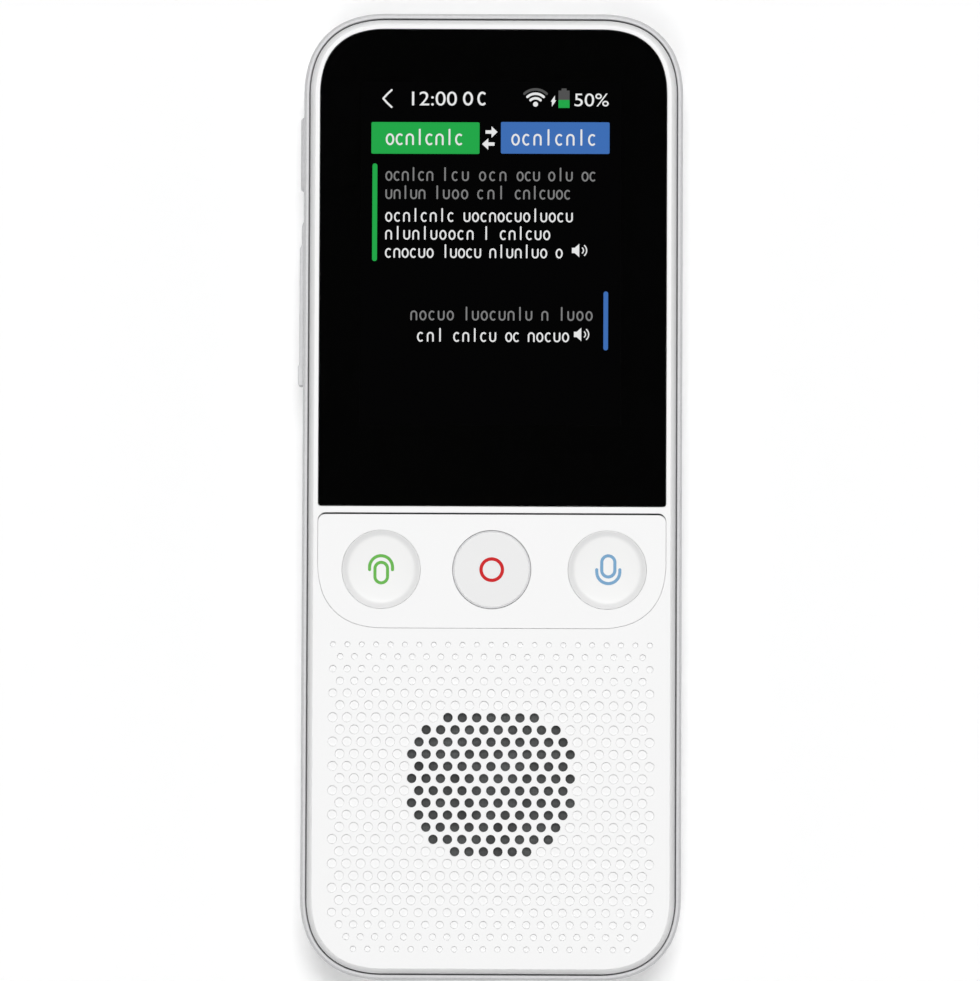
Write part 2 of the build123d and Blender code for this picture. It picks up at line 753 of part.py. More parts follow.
# ---- Main board, with room for the speaker, the port housing, the power switch and the USB port ----
with BuildPart() as main_board:
    with BuildSketch(Plane.XY.offset(board_z)) as board_sketch:
        Rectangle(body_width - 2 * board_inset, body_length - 2 * board_inset)
        chamfer(board_sketch.vertices(), board_corner)
        with Locations((0, speaker_y)):
            opening = speaker_size + 2 * speaker_clearance
            Rectangle(opening, opening, mode=Mode.SUBTRACT)
        with Locations((side_x, (port_top + port_bottom) / 2)):
            Rectangle(
                2 * (housing_inset + board_clearance),
                port_length + 2 * (housing_wall + board_clearance),
                mode=Mode.SUBTRACT,
            )
        with Locations((side_x, power_y)):
            Rectangle(
                2 * (power_switch_x + power_switch[0] + board_clearance - side_x),
                power_length + 2 * (power_flange + board_clearance),
                mode=Mode.SUBTRACT,
            )
        with Locations((0, -half_length)):
            Rectangle(
                usb_width + 2 * board_clearance,
                2 * (usb_recess + usb_length + board_clearance),
                mode=Mode.SUBTRACT,
            )
        add(screw_slots(screw_slot, screw_inset), mode=Mode.SUBTRACT)
    extrude(amount=board_thickness)
save(main_board, "main_board")


def build_block(x, y, z, size):
    """A plain component: a block whose lower face is centred at (x, y, z)."""
    with BuildPart() as block:
        with BuildSketch(Plane((x, y, z))):
            Rectangle(size[0], size[1])
        extrude(amount=size[2])
    return block


save(
    build_block(processor_place[0], half_length - processor_place[1], shield_z, (*processor_can, shield_height)),
    "processor_shield",
)
save(
    build_block(radio_place[0], half_length - radio_place[1], shield_z, (*radio_can, shield_height)),
    "radio_shield",
)

# ---- Card sockets, under the board behind the port cover ------------------------------------------
socket_x = housing_x + board_clearance + socket_depth / 2
sim_y = slot_top - sim_socket_width / 2
card_y = slot_top - sim_socket_width - socket_gap - card_socket_width / 2


def build_socket(y, width):
    """A card socket: a low box that is open towards the port cover."""
    with BuildPart() as socket:
        with BuildSketch(Plane((socket_x, y, board_z - socket_height))):
            Rectangle(socket_depth, width)
        extrude(amount=socket_height)
        openings = socket.faces().sort_by(Axis.X)[0]
        offset(amount=-usb_wall, openings=openings)
    return socket


save(build_socket(sim_y, sim_socket_width), "sim_socket")
save(build_socket(card_y, card_socket_width), "memory_card_socket")

# ---- USB-C port, in a notch of the board ----------------------------------------------------------
with BuildPart() as usb_shell:
    with BuildSketch(Plane.XZ.offset(-usb_front_y)):
        with Locations((0, usb_z)):
            SlotOverall(usb_width, usb_height)
    extrude(amount=-usb_length)
    with BuildSketch(Plane.XZ.offset(-usb_front_y)):
        with Locations((0, usb_z)):
            SlotOverall(usb_width - 2 * usb_wall, usb_height - 2 * usb_wall)
    extrude(amount=-usb_length, mode=Mode.SUBTRACT)
save(usb_shell, "usb_shell")

with BuildPart() as usb_tongue:
    with BuildSketch(Plane.XZ.offset(-usb_back_y)):
        with Locations((0, usb_z)):
            SlotOverall(usb_width - 2 * usb_wall, usb_height - 2 * usb_wall)
    extrude(amount=usb_back)
    with BuildSketch(Plane.XZ.offset(-usb_back_y)):
        with Locations((0, usb_z)):
            Rectangle(usb_tongue_width, usb_tongue_thickness)
    extrude(amount=usb_back + usb_tongue_length)
save(usb_tongue, "usb_tongue")

# ---- Microphones under the board, with rubber boots to their holes --------------------------------
save(build_block(0, mic_y - mic_size[1] / 2, board_z - mic_size[2], mic_size), "top_mic")
save(build_block(mic_offset, mic_size[1] / 2 - mic_y, board_z - mic_size[2], mic_size), "bottom_mic")


def build_boot(x, end):
    """A rubber boot from a microphone to the wall, with its sound channel."""
    with BuildPart() as boot:
        with BuildSketch(Plane((x, end * (mic_y + mic_wall) / 2, board_z - boot_height))):
            Rectangle(boot_width, mic_wall - mic_y)
        extrude(amount=boot_height)
        with BuildSketch(Plane.XZ.offset(-mic_y)):
            with Locations((x, boot_z)):
                Rectangle(mic_hole, mic_hole)
        extrude(amount=body_length, both=True, mode=Mode.SUBTRACT)
    return boot


save(build_boot(0, 1), "top_mic_boot")
save(build_boot(mic_offset, -1), "bottom_mic_boot")

# ---- Battery on the back cover, its protection board and the tab to the main board -----------------
with BuildPart() as battery:
    with BuildSketch(Plane((0, (battery_top + battery_bottom) / 2, back_wall))):
        Rectangle(battery_width, battery_length)
    extrude(amount=battery_top_z - back_wall)
    fillet(battery.edges().filter_by(Axis.Y), battery_round)
save(battery, "battery")

save(
    build_block(
        0,
        battery_bottom - guard_thickness / 2,
        back_wall,
        (guard_width, guard_thickness, battery_top_z - back_wall - battery_round),
    ),
    "battery_guard",
)

socket_y = guard_y - power_socket_gap - power_socket[1] / 2
power_socket_z = board_z - power_socket_height
guard_top_z = battery_top_z - battery_round
save(build_block(0, socket_y, power_socket_z, (*power_socket, power_socket_height)), "battery_socket")
with BuildPart() as battery_tab:
    with BuildSketch(Plane.YZ.offset(-tab_width / 2)):
        with BuildLine():
            Polyline(
                (guard_y + guard_thickness, guard_top_z),
                (guard_y, guard_top_z),
                (guard_y - tab_thickness, power_socket_z - tab_thickness),
                (socket_y, power_socket_z - tab_thickness),
                (socket_y, power_socket_z),
                (guard_y, power_socket_z),
                (guard_y + tab_thickness, guard_top_z + tab_thickness),
                (guard_y + guard_thickness, guard_top_z + tab_thickness),
                close=True,
            )
        make_face()
    extrude(amount=tab_width)
save(battery_tab, "battery_tab")

antenna_y = half_length - lip_inset - lip_thickness - antenna_gap - antenna_strip / 2
save(build_block(0, antenna_y, back_wall, (antenna_width, antenna_strip, antenna_thickness)), "antenna")

# ---- Screws, from the back through the board and the frame's lugs into the front cover -------------
with BuildPart() as case_screws:
    with BuildSketch(Plane.XY.offset(board_z - screw_head_height)):
        with Locations(*screw_points):
            RegularPolygon(screw_head_diameter / 2, screw_head_sides)
    extrude(amount=screw_head_height)
    with BuildSketch(Plane.XY.offset(board_z)):
        with Locations(*screw_points):
            RegularPolygon(screw_diameter / 2, screw_sides)
    extrude(amount=screw_length)
save(case_screws, "case_screws")

# ---- Power key: a bar with round ends on a flange behind the wall ---------------------------------
with BuildPart() as power_key:
    with BuildSketch(Plane.YZ.offset(side_x - power_proud)):
        with Locations((power_y, power_z)):
            SlotOverall(power_length, power_height)
    extrude(amount=power_back_x - side_x + power_proud)
    chamfer(power_key.faces().sort_by(Axis.X)[0].edges(), power_bevel)
    with BuildSketch(Plane.YZ.offset(power_flange_x)):
        with Locations((power_y, power_z)):
            Rectangle(power_length + 2 * power_flange, power_height + 2 * power_gap)
    extrude(amount=power_flange_thickness)
save(power_key, "power_key")

plunger_tip_x = power_back_x + plunger_gap
with BuildPart() as power_plunger_piece:
    with BuildSketch(Plane.YZ.offset(plunger_tip_x)):
        with Locations((power_y, power_z)):
            Rectangle(*power_plunger)
    extrude(amount=power_plunger_proud + power_plunger_depth)
save(power_plunger_piece, "power_plunger")

with BuildPart() as power_switch_piece:
    with BuildSketch(Plane.YZ.offset(power_switch_x)):
        with Locations((power_y, power_z)):
            Rectangle(power_switch[1], power_switch[2])
    extrude(amount=power_switch[0])
    with BuildSketch(Plane.YZ.offset(power_switch_x)):
        with Locations((power_y, power_z)):
            Rectangle(power_plunger[0] + 2 * plunger_clearance, power_plunger[1] + 2 * plunger_clearance)
    extrude(amount=power_plunger_depth + power_travel + plunger_clearance, mode=Mode.SUBTRACT)
save(power_switch_piece, "power_switch")

# ---- Port cover: its hinge barrel is at the upper end and its finger lip at the lower --------------
cover_face_x = side_x - port_proud
with BuildPart() as port_cover:
    with BuildSketch(Plane.XY.offset(port_low_z + port_gap)):
        with BuildLine():
            Polyline(
                (port_inner_x, hinge_y),
                (side_x - hinge_proud, hinge_y),
                (side_x - hinge_proud, port_top - hinge_zone),
                (cover_face_x, port_top - hinge_zone - port_proud),
                (cover_face_x, port_bottom + finger_lip),
                (cover_face_x - finger_lip_proud, port_bottom + finger_lip - finger_lip_proud),
                (cover_face_x - finger_lip_proud, port_bottom + finger_lip_proud),
                (cover_face_x, port_bottom),
                (port_inner_x, port_bottom),
                close=True,
            )
        make_face()
        with Locations((hinge_x, hinge_y)):
            Circle(barrel_radius)
            Circle(hinge_pin_diameter / 2 + hinge_running_clearance, mode=Mode.SUBTRACT)
    extrude(amount=port_height - 2 * port_gap)
save(port_cover, "port_cover")

with BuildPart() as port_seal:
    with BuildSketch(Plane.YZ.offset(port_inner_x)):
        with Locations(((slot_top + slot_bottom) / 2, port_z)):
            length = slot_top - slot_bottom - 2 * seal_margin
            height = port_height - 2 * seal_margin
            Rectangle(length, height)
            Rectangle(length - 2 * seal_wall, height - 2 * seal_wall, mode=Mode.SUBTRACT)
    extrude(amount=seal_thickness)
save(port_seal, "port_seal")

with BuildPart() as hinge_pin:
    with BuildSketch(Plane((hinge_x, hinge_y, housing_z))):
        Circle(hinge_pin_diameter / 2)
    extrude(amount=port_height + 1.5 * housing_wall - hinge_press_clearance)
save(hinge_pin, "hinge_pin")
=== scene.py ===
"""Looks of a handheld translator: its moulded face, printed marks, lit display and finishes."""

import json
import math

import bmesh
import bpy
import numpy as np
from mathutils.geometry import delaunay_2d_cdt
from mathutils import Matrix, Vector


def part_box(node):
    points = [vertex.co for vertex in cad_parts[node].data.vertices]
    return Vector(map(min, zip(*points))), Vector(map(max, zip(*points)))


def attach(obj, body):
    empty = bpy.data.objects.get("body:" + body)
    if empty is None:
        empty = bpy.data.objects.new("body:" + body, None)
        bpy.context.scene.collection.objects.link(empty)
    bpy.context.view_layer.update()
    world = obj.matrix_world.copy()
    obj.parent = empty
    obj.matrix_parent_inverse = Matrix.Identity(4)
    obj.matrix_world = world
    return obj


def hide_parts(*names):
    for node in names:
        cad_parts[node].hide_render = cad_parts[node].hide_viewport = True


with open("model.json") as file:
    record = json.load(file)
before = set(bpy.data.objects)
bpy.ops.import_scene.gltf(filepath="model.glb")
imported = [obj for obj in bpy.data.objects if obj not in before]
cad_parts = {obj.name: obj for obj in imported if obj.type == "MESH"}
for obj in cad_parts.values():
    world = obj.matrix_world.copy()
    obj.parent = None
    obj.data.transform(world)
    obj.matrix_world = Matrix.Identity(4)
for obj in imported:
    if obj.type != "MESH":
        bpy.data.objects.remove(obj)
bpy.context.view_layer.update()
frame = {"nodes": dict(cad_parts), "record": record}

bl_info = {
    "name": "Handheld translator",
    "version": (1, 0, 0),
    "blender": (4, 2, 0),
    "location": "3D View > Sidebar > Translator",
    "description": "Builds the face, marks, display, finishes and stage of a handheld translator",
    "category": "Add Mesh",
}

MM = 0.001

# ---- Places taken from the solids, in millimetres ----


def span(node):
    """Lowest and highest corner of a solid, in millimetres."""
    low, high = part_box(node)
    return np.array(low) / MM, np.array(high) / MM


def key_middle(node):
    """Middle of a key in plan."""
    low, high = span(node)
    return (low[0] + high[0]) / 2, (low[1] + high[1]) / 2


BACK_LOW, BACK_HIGH = span("rear_cover")
GLASS_LOW, GLASS_HIGH = span("screen_glass")
PLATE_LOW, PLATE_HIGH = span("key_plate")
CELL_LOW, CELL_HIGH = span("display_cell")
CONE_LOW, CONE_HIGH = span("speaker_cone")

HALF_WIDTH = -BACK_LOW[0]
HALF_LENGTH = BACK_HIGH[1]
FRONT_Z = GLASS_HIGH[2]
GRILLE_BACK_Z = span("dust_mesh")[1][2]
SPEAKER_Y = (CONE_LOW[1] + CONE_HIGH[1]) / 2
INLAY_INSET = HALF_WIDTH - GLASS_HIGH[0]  # of the glass and the key plate from the body's edge
COVER_INSET = HALF_WIDTH - span("front_cover")[1][0]  # of the face from the body's edge

# ---- Sizes of the outlines that a user wouldn't change, in millimetres ----

TIGHT_RADIUS = 9.65  # of the body's corner in its middle
EASY_RADIUS = 14.9  # of the body's corner at its ends
EASY_TURN = math.radians(17.0)  # how far each easy arc turns
CORNER_STEPS = 20
GLASS_CORNER = 0.4
PLATE_CORNER = 1.1

# ---- Sizes and colours that a user may change ----


def length(name, description, default):
    """A length, in metres."""
    return bpy.props.FloatProperty(name=name, description=description, default=default, unit="LENGTH")


def colour(name, description, default):
    """A colour, in linear light."""
    return bpy.props.FloatVectorProperty(
        name=name, description=description, size=3, subtype="COLOR", default=default
    )


def level(name, description, default, **limits):
    """A brightness or a strength, from nothing up."""
    return bpy.props.FloatProperty(name=name, description=description, default=default, min=0.0, **limits)


class FaceSizes(bpy.types.PropertyGroup):
    """Sizes of the moulded face."""

    bevel: length("Edge width", "Width of the rounded edge of the face", 0.00078)
    drop: length("Edge drop", "Height of the rounded edge of the face", 0.00112)
    seat_gap: length("Inlay gap", "Gap round the glass and the key plate", 0.00005)
    groove: length("Plate groove", "Groove above the key plate", 0.00025)
    dot_pitch: length("Dot pitch", "Distance between dots along a row", 0.002044)
    row_pitch: length("Row pitch", "Distance between rows of dots", 0.001725)
    dot_size: length("Dot size", "Diameter of a full-sized dot", 0.00142)
    hole_size: length("Hole size", "Diameter of a sound hole at the face", 0.00142)
    dot_depth: length("Dot depth", "Depth of a blind dot", 0.00032)


class MarkColours(bpy.types.PropertyGroup):
    """Colours of the printed and lit marks."""

    green: colour("Green", "Green of the left key's mark", (0.144, 0.479, 0.08))
    red: colour("Red", "Red of the record key's ring", (0.62, 0.012, 0.016))
    blue: colour("Blue", "Blue of the right key's mark", (0.195, 0.392, 0.61))
    lit_green: colour("Lit green", "Green of the display", (0.018, 0.402, 0.07))
    lit_blue: colour("Lit blue", "Blue of the display", (0.051, 0.162, 0.479))
    lit_white: level("Lit white", "Brightness of the display's white marks", 0.83, max=1.0)
    lit_grey: level("Lit grey", "Brightness of the display's grey marks", 0.22, max=1.0)


class StageSettings(bpy.types.PropertyGroup):
    """Light and camera."""

    floor_white: level("Floor white", "How much white the floor shows by itself", 0.13, max=1.0)
    key_light: level("Key light", "Strength of the lamp at the upper end", 1.73)
    fill_light: level("Fill light", "Strength of the lamp at the lower end", 0.77)
    distance: length("Camera distance", "Height of the camera above the floor", 0.8)


def in_mm(sizes, *names):
    """Some lengths of a property group, in millimetres."""
    return [getattr(sizes, name) / MM for name in names]


# ---- Outlines: closed loops of (x, y) points, counter-clockwise, in millimetres ----


def polar(radius, turn):
    """Points about the origin: radius * (cos, sin) of the turn."""
    return np.stack([radius * np.cos(turn), radius * np.sin(turn)], -1)


def turns(sides):
    """The turns of a regular polygon's corners."""
    return np.arange(sides) * 2 * math.pi / sides


def body_corner(inset):
    """The body's upper right corner, inset from its edge, from the side (turn 0) to the end (90 degrees).

    Three tangent arcs, easy, tight and easy, about fixed centres: centre + (radius - inset) * (cos, sin).
    """
    turn = np.linspace(0, math.pi / 2, CORNER_STEPS + 1)
    easy, tight = EASY_RADIUS, TIGHT_RADIUS
    reach = easy - (easy - tight) * (math.cos(EASY_TURN) - math.sin(EASY_TURN))
    upper = np.array([HALF_WIDTH - reach, HALF_LENGTH - easy])
    middle = upper + (easy - tight) * np.array([math.sin(EASY_TURN), math.cos(EASY_TURN)])
    lower = middle - (easy - tight) * np.array([math.cos(EASY_TURN), math.sin(EASY_TURN)])
    near_side, near_end = turn < EASY_TURN, turn > math.pi / 2 - EASY_TURN
    centre = np.where(near_side[:, None], lower, np.where(near_end[:, None], upper, middle))
    radius = np.where(near_side | near_end, easy, tight) - inset
    return centre + polar(radius, turn)


def small_corner(x, y, radius, first_turn, steps=6):
    """A quarter arc that ends at the sides x and y: centre + radius * (cos, sin) from first_turn on."""
    turn = first_turn + np.linspace(0, math.pi / 2, steps + 1)
    upwards = math.copysign(1, math.sin(first_turn + math.pi / 4))
    centre = np.array([x - math.copysign(radius, x), y - radius * upwards])
    return centre + polar(radius, turn)


def flipped(points, across, along):
    """Points mirrored across (x) and along (y), kept counter-clockwise."""
    turned = points * np.array([-1.0 if across else 1.0, -1.0 if along else 1.0])
    return turned[::-1] if across != along else turned


def four_corners(corner):
    """A loop of one corner and its three mirror images."""
    return np.concatenate([corner, flipped(corner, 1, 0), flipped(corner, 1, 1), flipped(corner, 0, 1)])


def body_loop(inset):
    """The whole outline of the body, inset."""
    return four_corners(body_corner(inset))


def glass_loop(gap):
    """The glass, grown by gap: the body's corners above, two small ones below."""
    corner = body_corner(INLAY_INSET - gap)
    side, foot, radius = GLASS_HIGH[0] + gap, GLASS_LOW[1] - gap, GLASS_CORNER + gap
    below = [small_corner(-side, foot, radius, math.pi), small_corner(side, foot, radius, 1.5 * math.pi)]
    return np.concatenate([corner, flipped(corner, 1, 0), *below])


def plate_loop(gap, groove):
    """The key plate, grown by gap and above by groove: two small corners above, the body's below."""
    corner = body_corner(INLAY_INSET - gap) + np.array([0, -PLATE_LOW[1] - HALF_LENGTH + INLAY_INSET])
    side, top, radius = PLATE_HIGH[0] + gap, PLATE_HIGH[1] + groove, PLATE_CORNER + gap
    above = [small_corner(side, top, radius, 0.0), small_corner(-side, top, radius, 0.5 * math.pi)]
    return np.concatenate([*above, flipped(corner, 1, 1), flipped(corner, 0, 1)])


def box_loop(x0, y0, x1, y1):
    """A plain rectangle."""
    return np.array([(x0, y0), (x1, y0), (x1, y1), (x0, y1)], float)


def round_loop(x, y, radius, sides, turn=0.0):
    """A regular polygon about (x, y)."""
    return polar(radius, turn + turns(sides)) + (x, y)


def octagon(x, y, half):
    """A regular octagon about (x, y), whose flats lie half a width away."""
    return round_loop(x, y, half / math.cos(math.pi / 8), 8, math.pi / 8)


def capsule_loop(x, y, width, height, radius, steps=8):
    """A rectangle with round corners about (x, y)."""
    arc = polar(radius, np.linspace(0, math.pi / 2, steps + 1))
    return four_corners(arc + (width / 2 - radius, height / 2 - radius)) + (x, y)


def at_height(loop, z):
    """Flat points lifted to z, a number or a function of the points."""
    loop = np.asarray(loop, float)
    height = z(loop) if callable(z) else np.full(loop.shape[:-1], float(z))
    return np.concatenate([loop, height[..., None]], -1)


# ---- Surfaces ----

MERGE_GRID = 1e-5  # millimetres; points that round to one place on this grid become one
SMOOTH_BELOW = 35.0  # degrees between faces


def put(name, data):
    """A new object in the scene."""
    made = bpy.data.objects.new(name, data)
    bpy.context.scene.collection.objects.link(made)
    return made


class Surface:
    """Vertices and faces gathered as whole arrays, in millimetres, and made one mesh at the end."""

    def __init__(self):
        self.points = []
        self.faces = []
        self.count = 0

    def add(self, points, faces):
        """Points, and faces as rows of their indices."""
        self.points.append(np.asarray(points, float).reshape(-1, 3))
        self.faces.append(np.asarray(faces, int) + self.count)
        self.count += len(self.points[-1])

    def face(self, loop, z):
        """One flat face."""
        self.add(at_height(loop, z), [np.arange(len(loop))])

    def sheets(self, grids, closed=True):
        """Grids of points, shapes x rows x columns x 3, joined with quads; closed ones also across the ends.

        Point (s, r, c) has the index (s * rows + r) * columns + c, and each quad joins (r, c), (r, c + 1),
        (r + 1, c + 1) and (r + 1, c).
        """
        grids = np.asarray(grids, float)
        index = np.arange(grids[..., 0].size).reshape(grids.shape[:3])
        right = np.roll(index, -1, 2)
        quads = np.stack([index[:, :-1], right[:, :-1], right[:, 1:], index[:, 1:]], -1)
        if not closed:
            quads = quads[:, :, :-1]
        self.add(grids, quads.reshape(-1, 4))

    def sheet(self, rows, closed=True):
        """One grid of points, rows x columns x 3."""
        self.sheets(np.asarray(rows, float)[None], closed)

    def wall(self, loop, *heights):
        """An upright wall on a loop, through some heights."""
        self.sheet([at_height(loop, z) for z in heights])

    def rings(self, middles, radii, profile, sides):
        """Round shapes: ring k of shape i has radius radii[i] + profile[k][0] and height profile[k][1]."""
        reach, height = np.array(profile, float).T
        radius = np.maximum(radii[:, None] + reach, 0)
        plan = middles[:, None, None] + polar(radius[:, :, None], turns(sides))
        z = np.broadcast_to(height[:, None, None], (*plan.shape[:3], 1))
        self.sheets(np.concatenate([plan, z], -1))

    def discs(self, middles, radii, z, sides):
        """Flat round caps, one face each."""
        plan = middles[:, None] + polar(radii[:, None], turns(sides))
        self.add(at_height(plan, z), np.arange(plan[..., 0].size).reshape(plan.shape[:2]))

    def flat(self, outer, holes, z):
        """The flat area inside a convex loop and outside convex holes, as triangles.

        A triangle lies in a hole exactly when its three corners are on that hole's loop.
        """
        loops = [outer, *holes]
        sizes = np.array([len(loop) for loop in loops])
        owner = np.repeat(np.arange(len(loops)), sizes)
        start = np.repeat(np.cumsum(sizes) - sizes, sizes)
        index = np.arange(len(owner))
        following = start + (index - start + 1) % np.repeat(sizes, sizes)
        points = np.concatenate(loops)
        made = delaunay_2d_cdt(points.tolist(), np.stack([index, following], 1).tolist(), [], 0, 1e-6)
        source = np.array([ids[0] for ids in made[3]])
        faces = np.array(made[2])
        owners = owner[source[faces]]
        inside = (owners[:, 0] > 0) & (owners == owners[:, :1]).all(1)
        self.add(at_height(points[source], z), faces[~inside])

    def build(self, name):
        """Joins what was gathered, merges equal points and returns the object."""
        points = np.concatenate(self.points)
        cells = np.round(points / MERGE_GRID).astype(np.int64)
        _, first, place = np.unique(cells, axis=0, return_index=True, return_inverse=True)
        place = place.ravel()
        faces = [row for block in self.faces for row in place[block].tolist()]
        mesh = bpy.data.meshes.new(name)
        mesh.from_pydata((points[first] * MM).tolist(), [], faces)
        mesh.validate()
        mesh.update()
        return put(name, mesh)

    def solid(self, name, smooth=True):
        """The object of a closed surface: its faces point outwards, and its shallow edges can be smooth."""
        piece = self.build(name)
        work = bmesh.new()
        work.from_mesh(piece.data)
        bmesh.ops.recalc_face_normals(work, faces=work.faces)
        work.to_mesh(piece.data)
        work.free()
        if smooth:
            piece.data.shade_smooth()
            piece.data.set_sharp_from_angle(angle=math.radians(SMOOTH_BELOW))
        return piece


def settle(piece, body, slot, finish=None, stands_for=()):
    """Gives a piece the slot's material or another one, puts it under its body and hides the solids it
    stands for.
    """
    piece.data.materials.clear()
    piece.data.materials.append(FINISHES[slot] if finish is None else finish)
    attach(piece, body)
    if stands_for:
        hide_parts(*stands_for)


# ---- Materials ----

WEAVE_PITCH = 0.22  # between the threads of the speaker's mesh


class Link:
    """An output socket of a material. Sums and products with numbers or other links add Math nodes."""

    def __init__(self, finish, socket):
        self.finish = finish
        self.socket = socket

    def math(self, operation, first, second=0.0):
        """Adds one Math node."""
        return self.finish.node("ShaderNodeMath", {"operation": operation}, {0: first, 1: second})

    def __add__(self, other):
        return self.math("ADD", self, other)

    def __radd__(self, other):
        return self.math("ADD", other, self)

    def __sub__(self, other):
        return self.math("SUBTRACT", self, other)

    def __rsub__(self, other):
        return self.math("SUBTRACT", other, self)

    def __mul__(self, other):
        return self.math("MULTIPLY", self, other)

    def __rmul__(self, other):
        return self.math("MULTIPLY", other, self)


class Finish:
    """A material: its shader's constants are set once, and its links are laid with node()."""

    def __init__(self, name, shade, **constants):
        self.material = bpy.data.materials.new(name)
        self.material.use_nodes = True
        self.tree = self.material.node_tree
        self.shader = self.tree.nodes["Principled BSDF"]
        self.shader.inputs["Base Color"].default_value = (*shade, 1.0)
        for label, value in constants.items():
            self.shader.inputs[label.replace("_", " ")].default_value = value

    def node(self, kind, settings, inputs, output=0):
        """Adds a node: first its settings, then the values or links of its inputs. Returns one output."""
        made = self.tree.nodes.new(kind)
        for label, value in settings.items():
            setattr(made, label, value)
        for label, value in inputs.items():
            if isinstance(value, Link):
                self.tree.links.new(value.socket, made.inputs[label])
            else:
                made.inputs[label].default_value = value
        return Link(self, made.outputs[output])

    def place(self, scales=(1.0, 1.0, 1.0), middle=(0.0, 0.0, 0.0)):
        """Object coordinates in millimetres about middle, times a scale in each direction."""
        spot = self.node("ShaderNodeTexCoord", {}, {}, "Object")
        shift = tuple(-m * s for m, s in zip(middle, scales))
        scale = tuple(s / MM for s in scales)
        return self.node("ShaderNodeMapping", {}, {"Vector": spot, "Location": shift, "Scale": scale})

    def noise(self, per_mm, detail=2.0, roughness=0.5, scales=(1.0, 1.0, 1.0)):
        """Noise with per_mm bumps to a millimetre, from 0 to 1."""
        spot = self.place(scales)
        inputs = {"Vector": spot, "Scale": per_mm, "Detail": detail, "Roughness": roughness}
        return self.node("ShaderNodeTexNoise", {}, inputs)

    def weave(self, pitch):
        """Crossing threads: the larger of |sin(pi x / pitch)| and |sin(pi y / pitch)|, from 0 to 1."""
        spot = self.place()
        waves = []
        for axis in (0, 1):
            along = self.node("ShaderNodeSeparateXYZ", {}, {0: spot}, axis) * (math.pi / pitch)
            wave = along.math("SINE", along)
            waves.append(wave.math("ABSOLUTE", wave))
        return waves[0].math("MAXIMUM", *waves)

    def between(self, factor, first, second):
        """A colour between two, by a factor from 0 to 1. Inputs 6 and 7 and output 2 are the colours'."""
        inputs = {0: factor, 6: (*first, 1.0), 7: (*second, 1.0)}
        return self.node("ShaderNodeMix", {"data_type": "RGBA"}, inputs, 2)

    def feed(self, label, link):
        """Links an input of the shader."""
        self.tree.links.new(link.socket, self.shader.inputs[label])
        return self

    def mixed(self, label, low, high, field):
        """Feeds a shader value that runs from low to high with a field of 0 to 1."""
        return self.feed(label, field * (high - low) + low)

    def relief(self, height, depth_mm, strength=1.0):
        """Bump from a height of 0 to 1, depth_mm deep."""
        inputs = {"Strength": strength, "Distance": depth_mm * MM, "Height": height}
        return self.feed("Normal", self.node("ShaderNodeBump", {}, inputs))


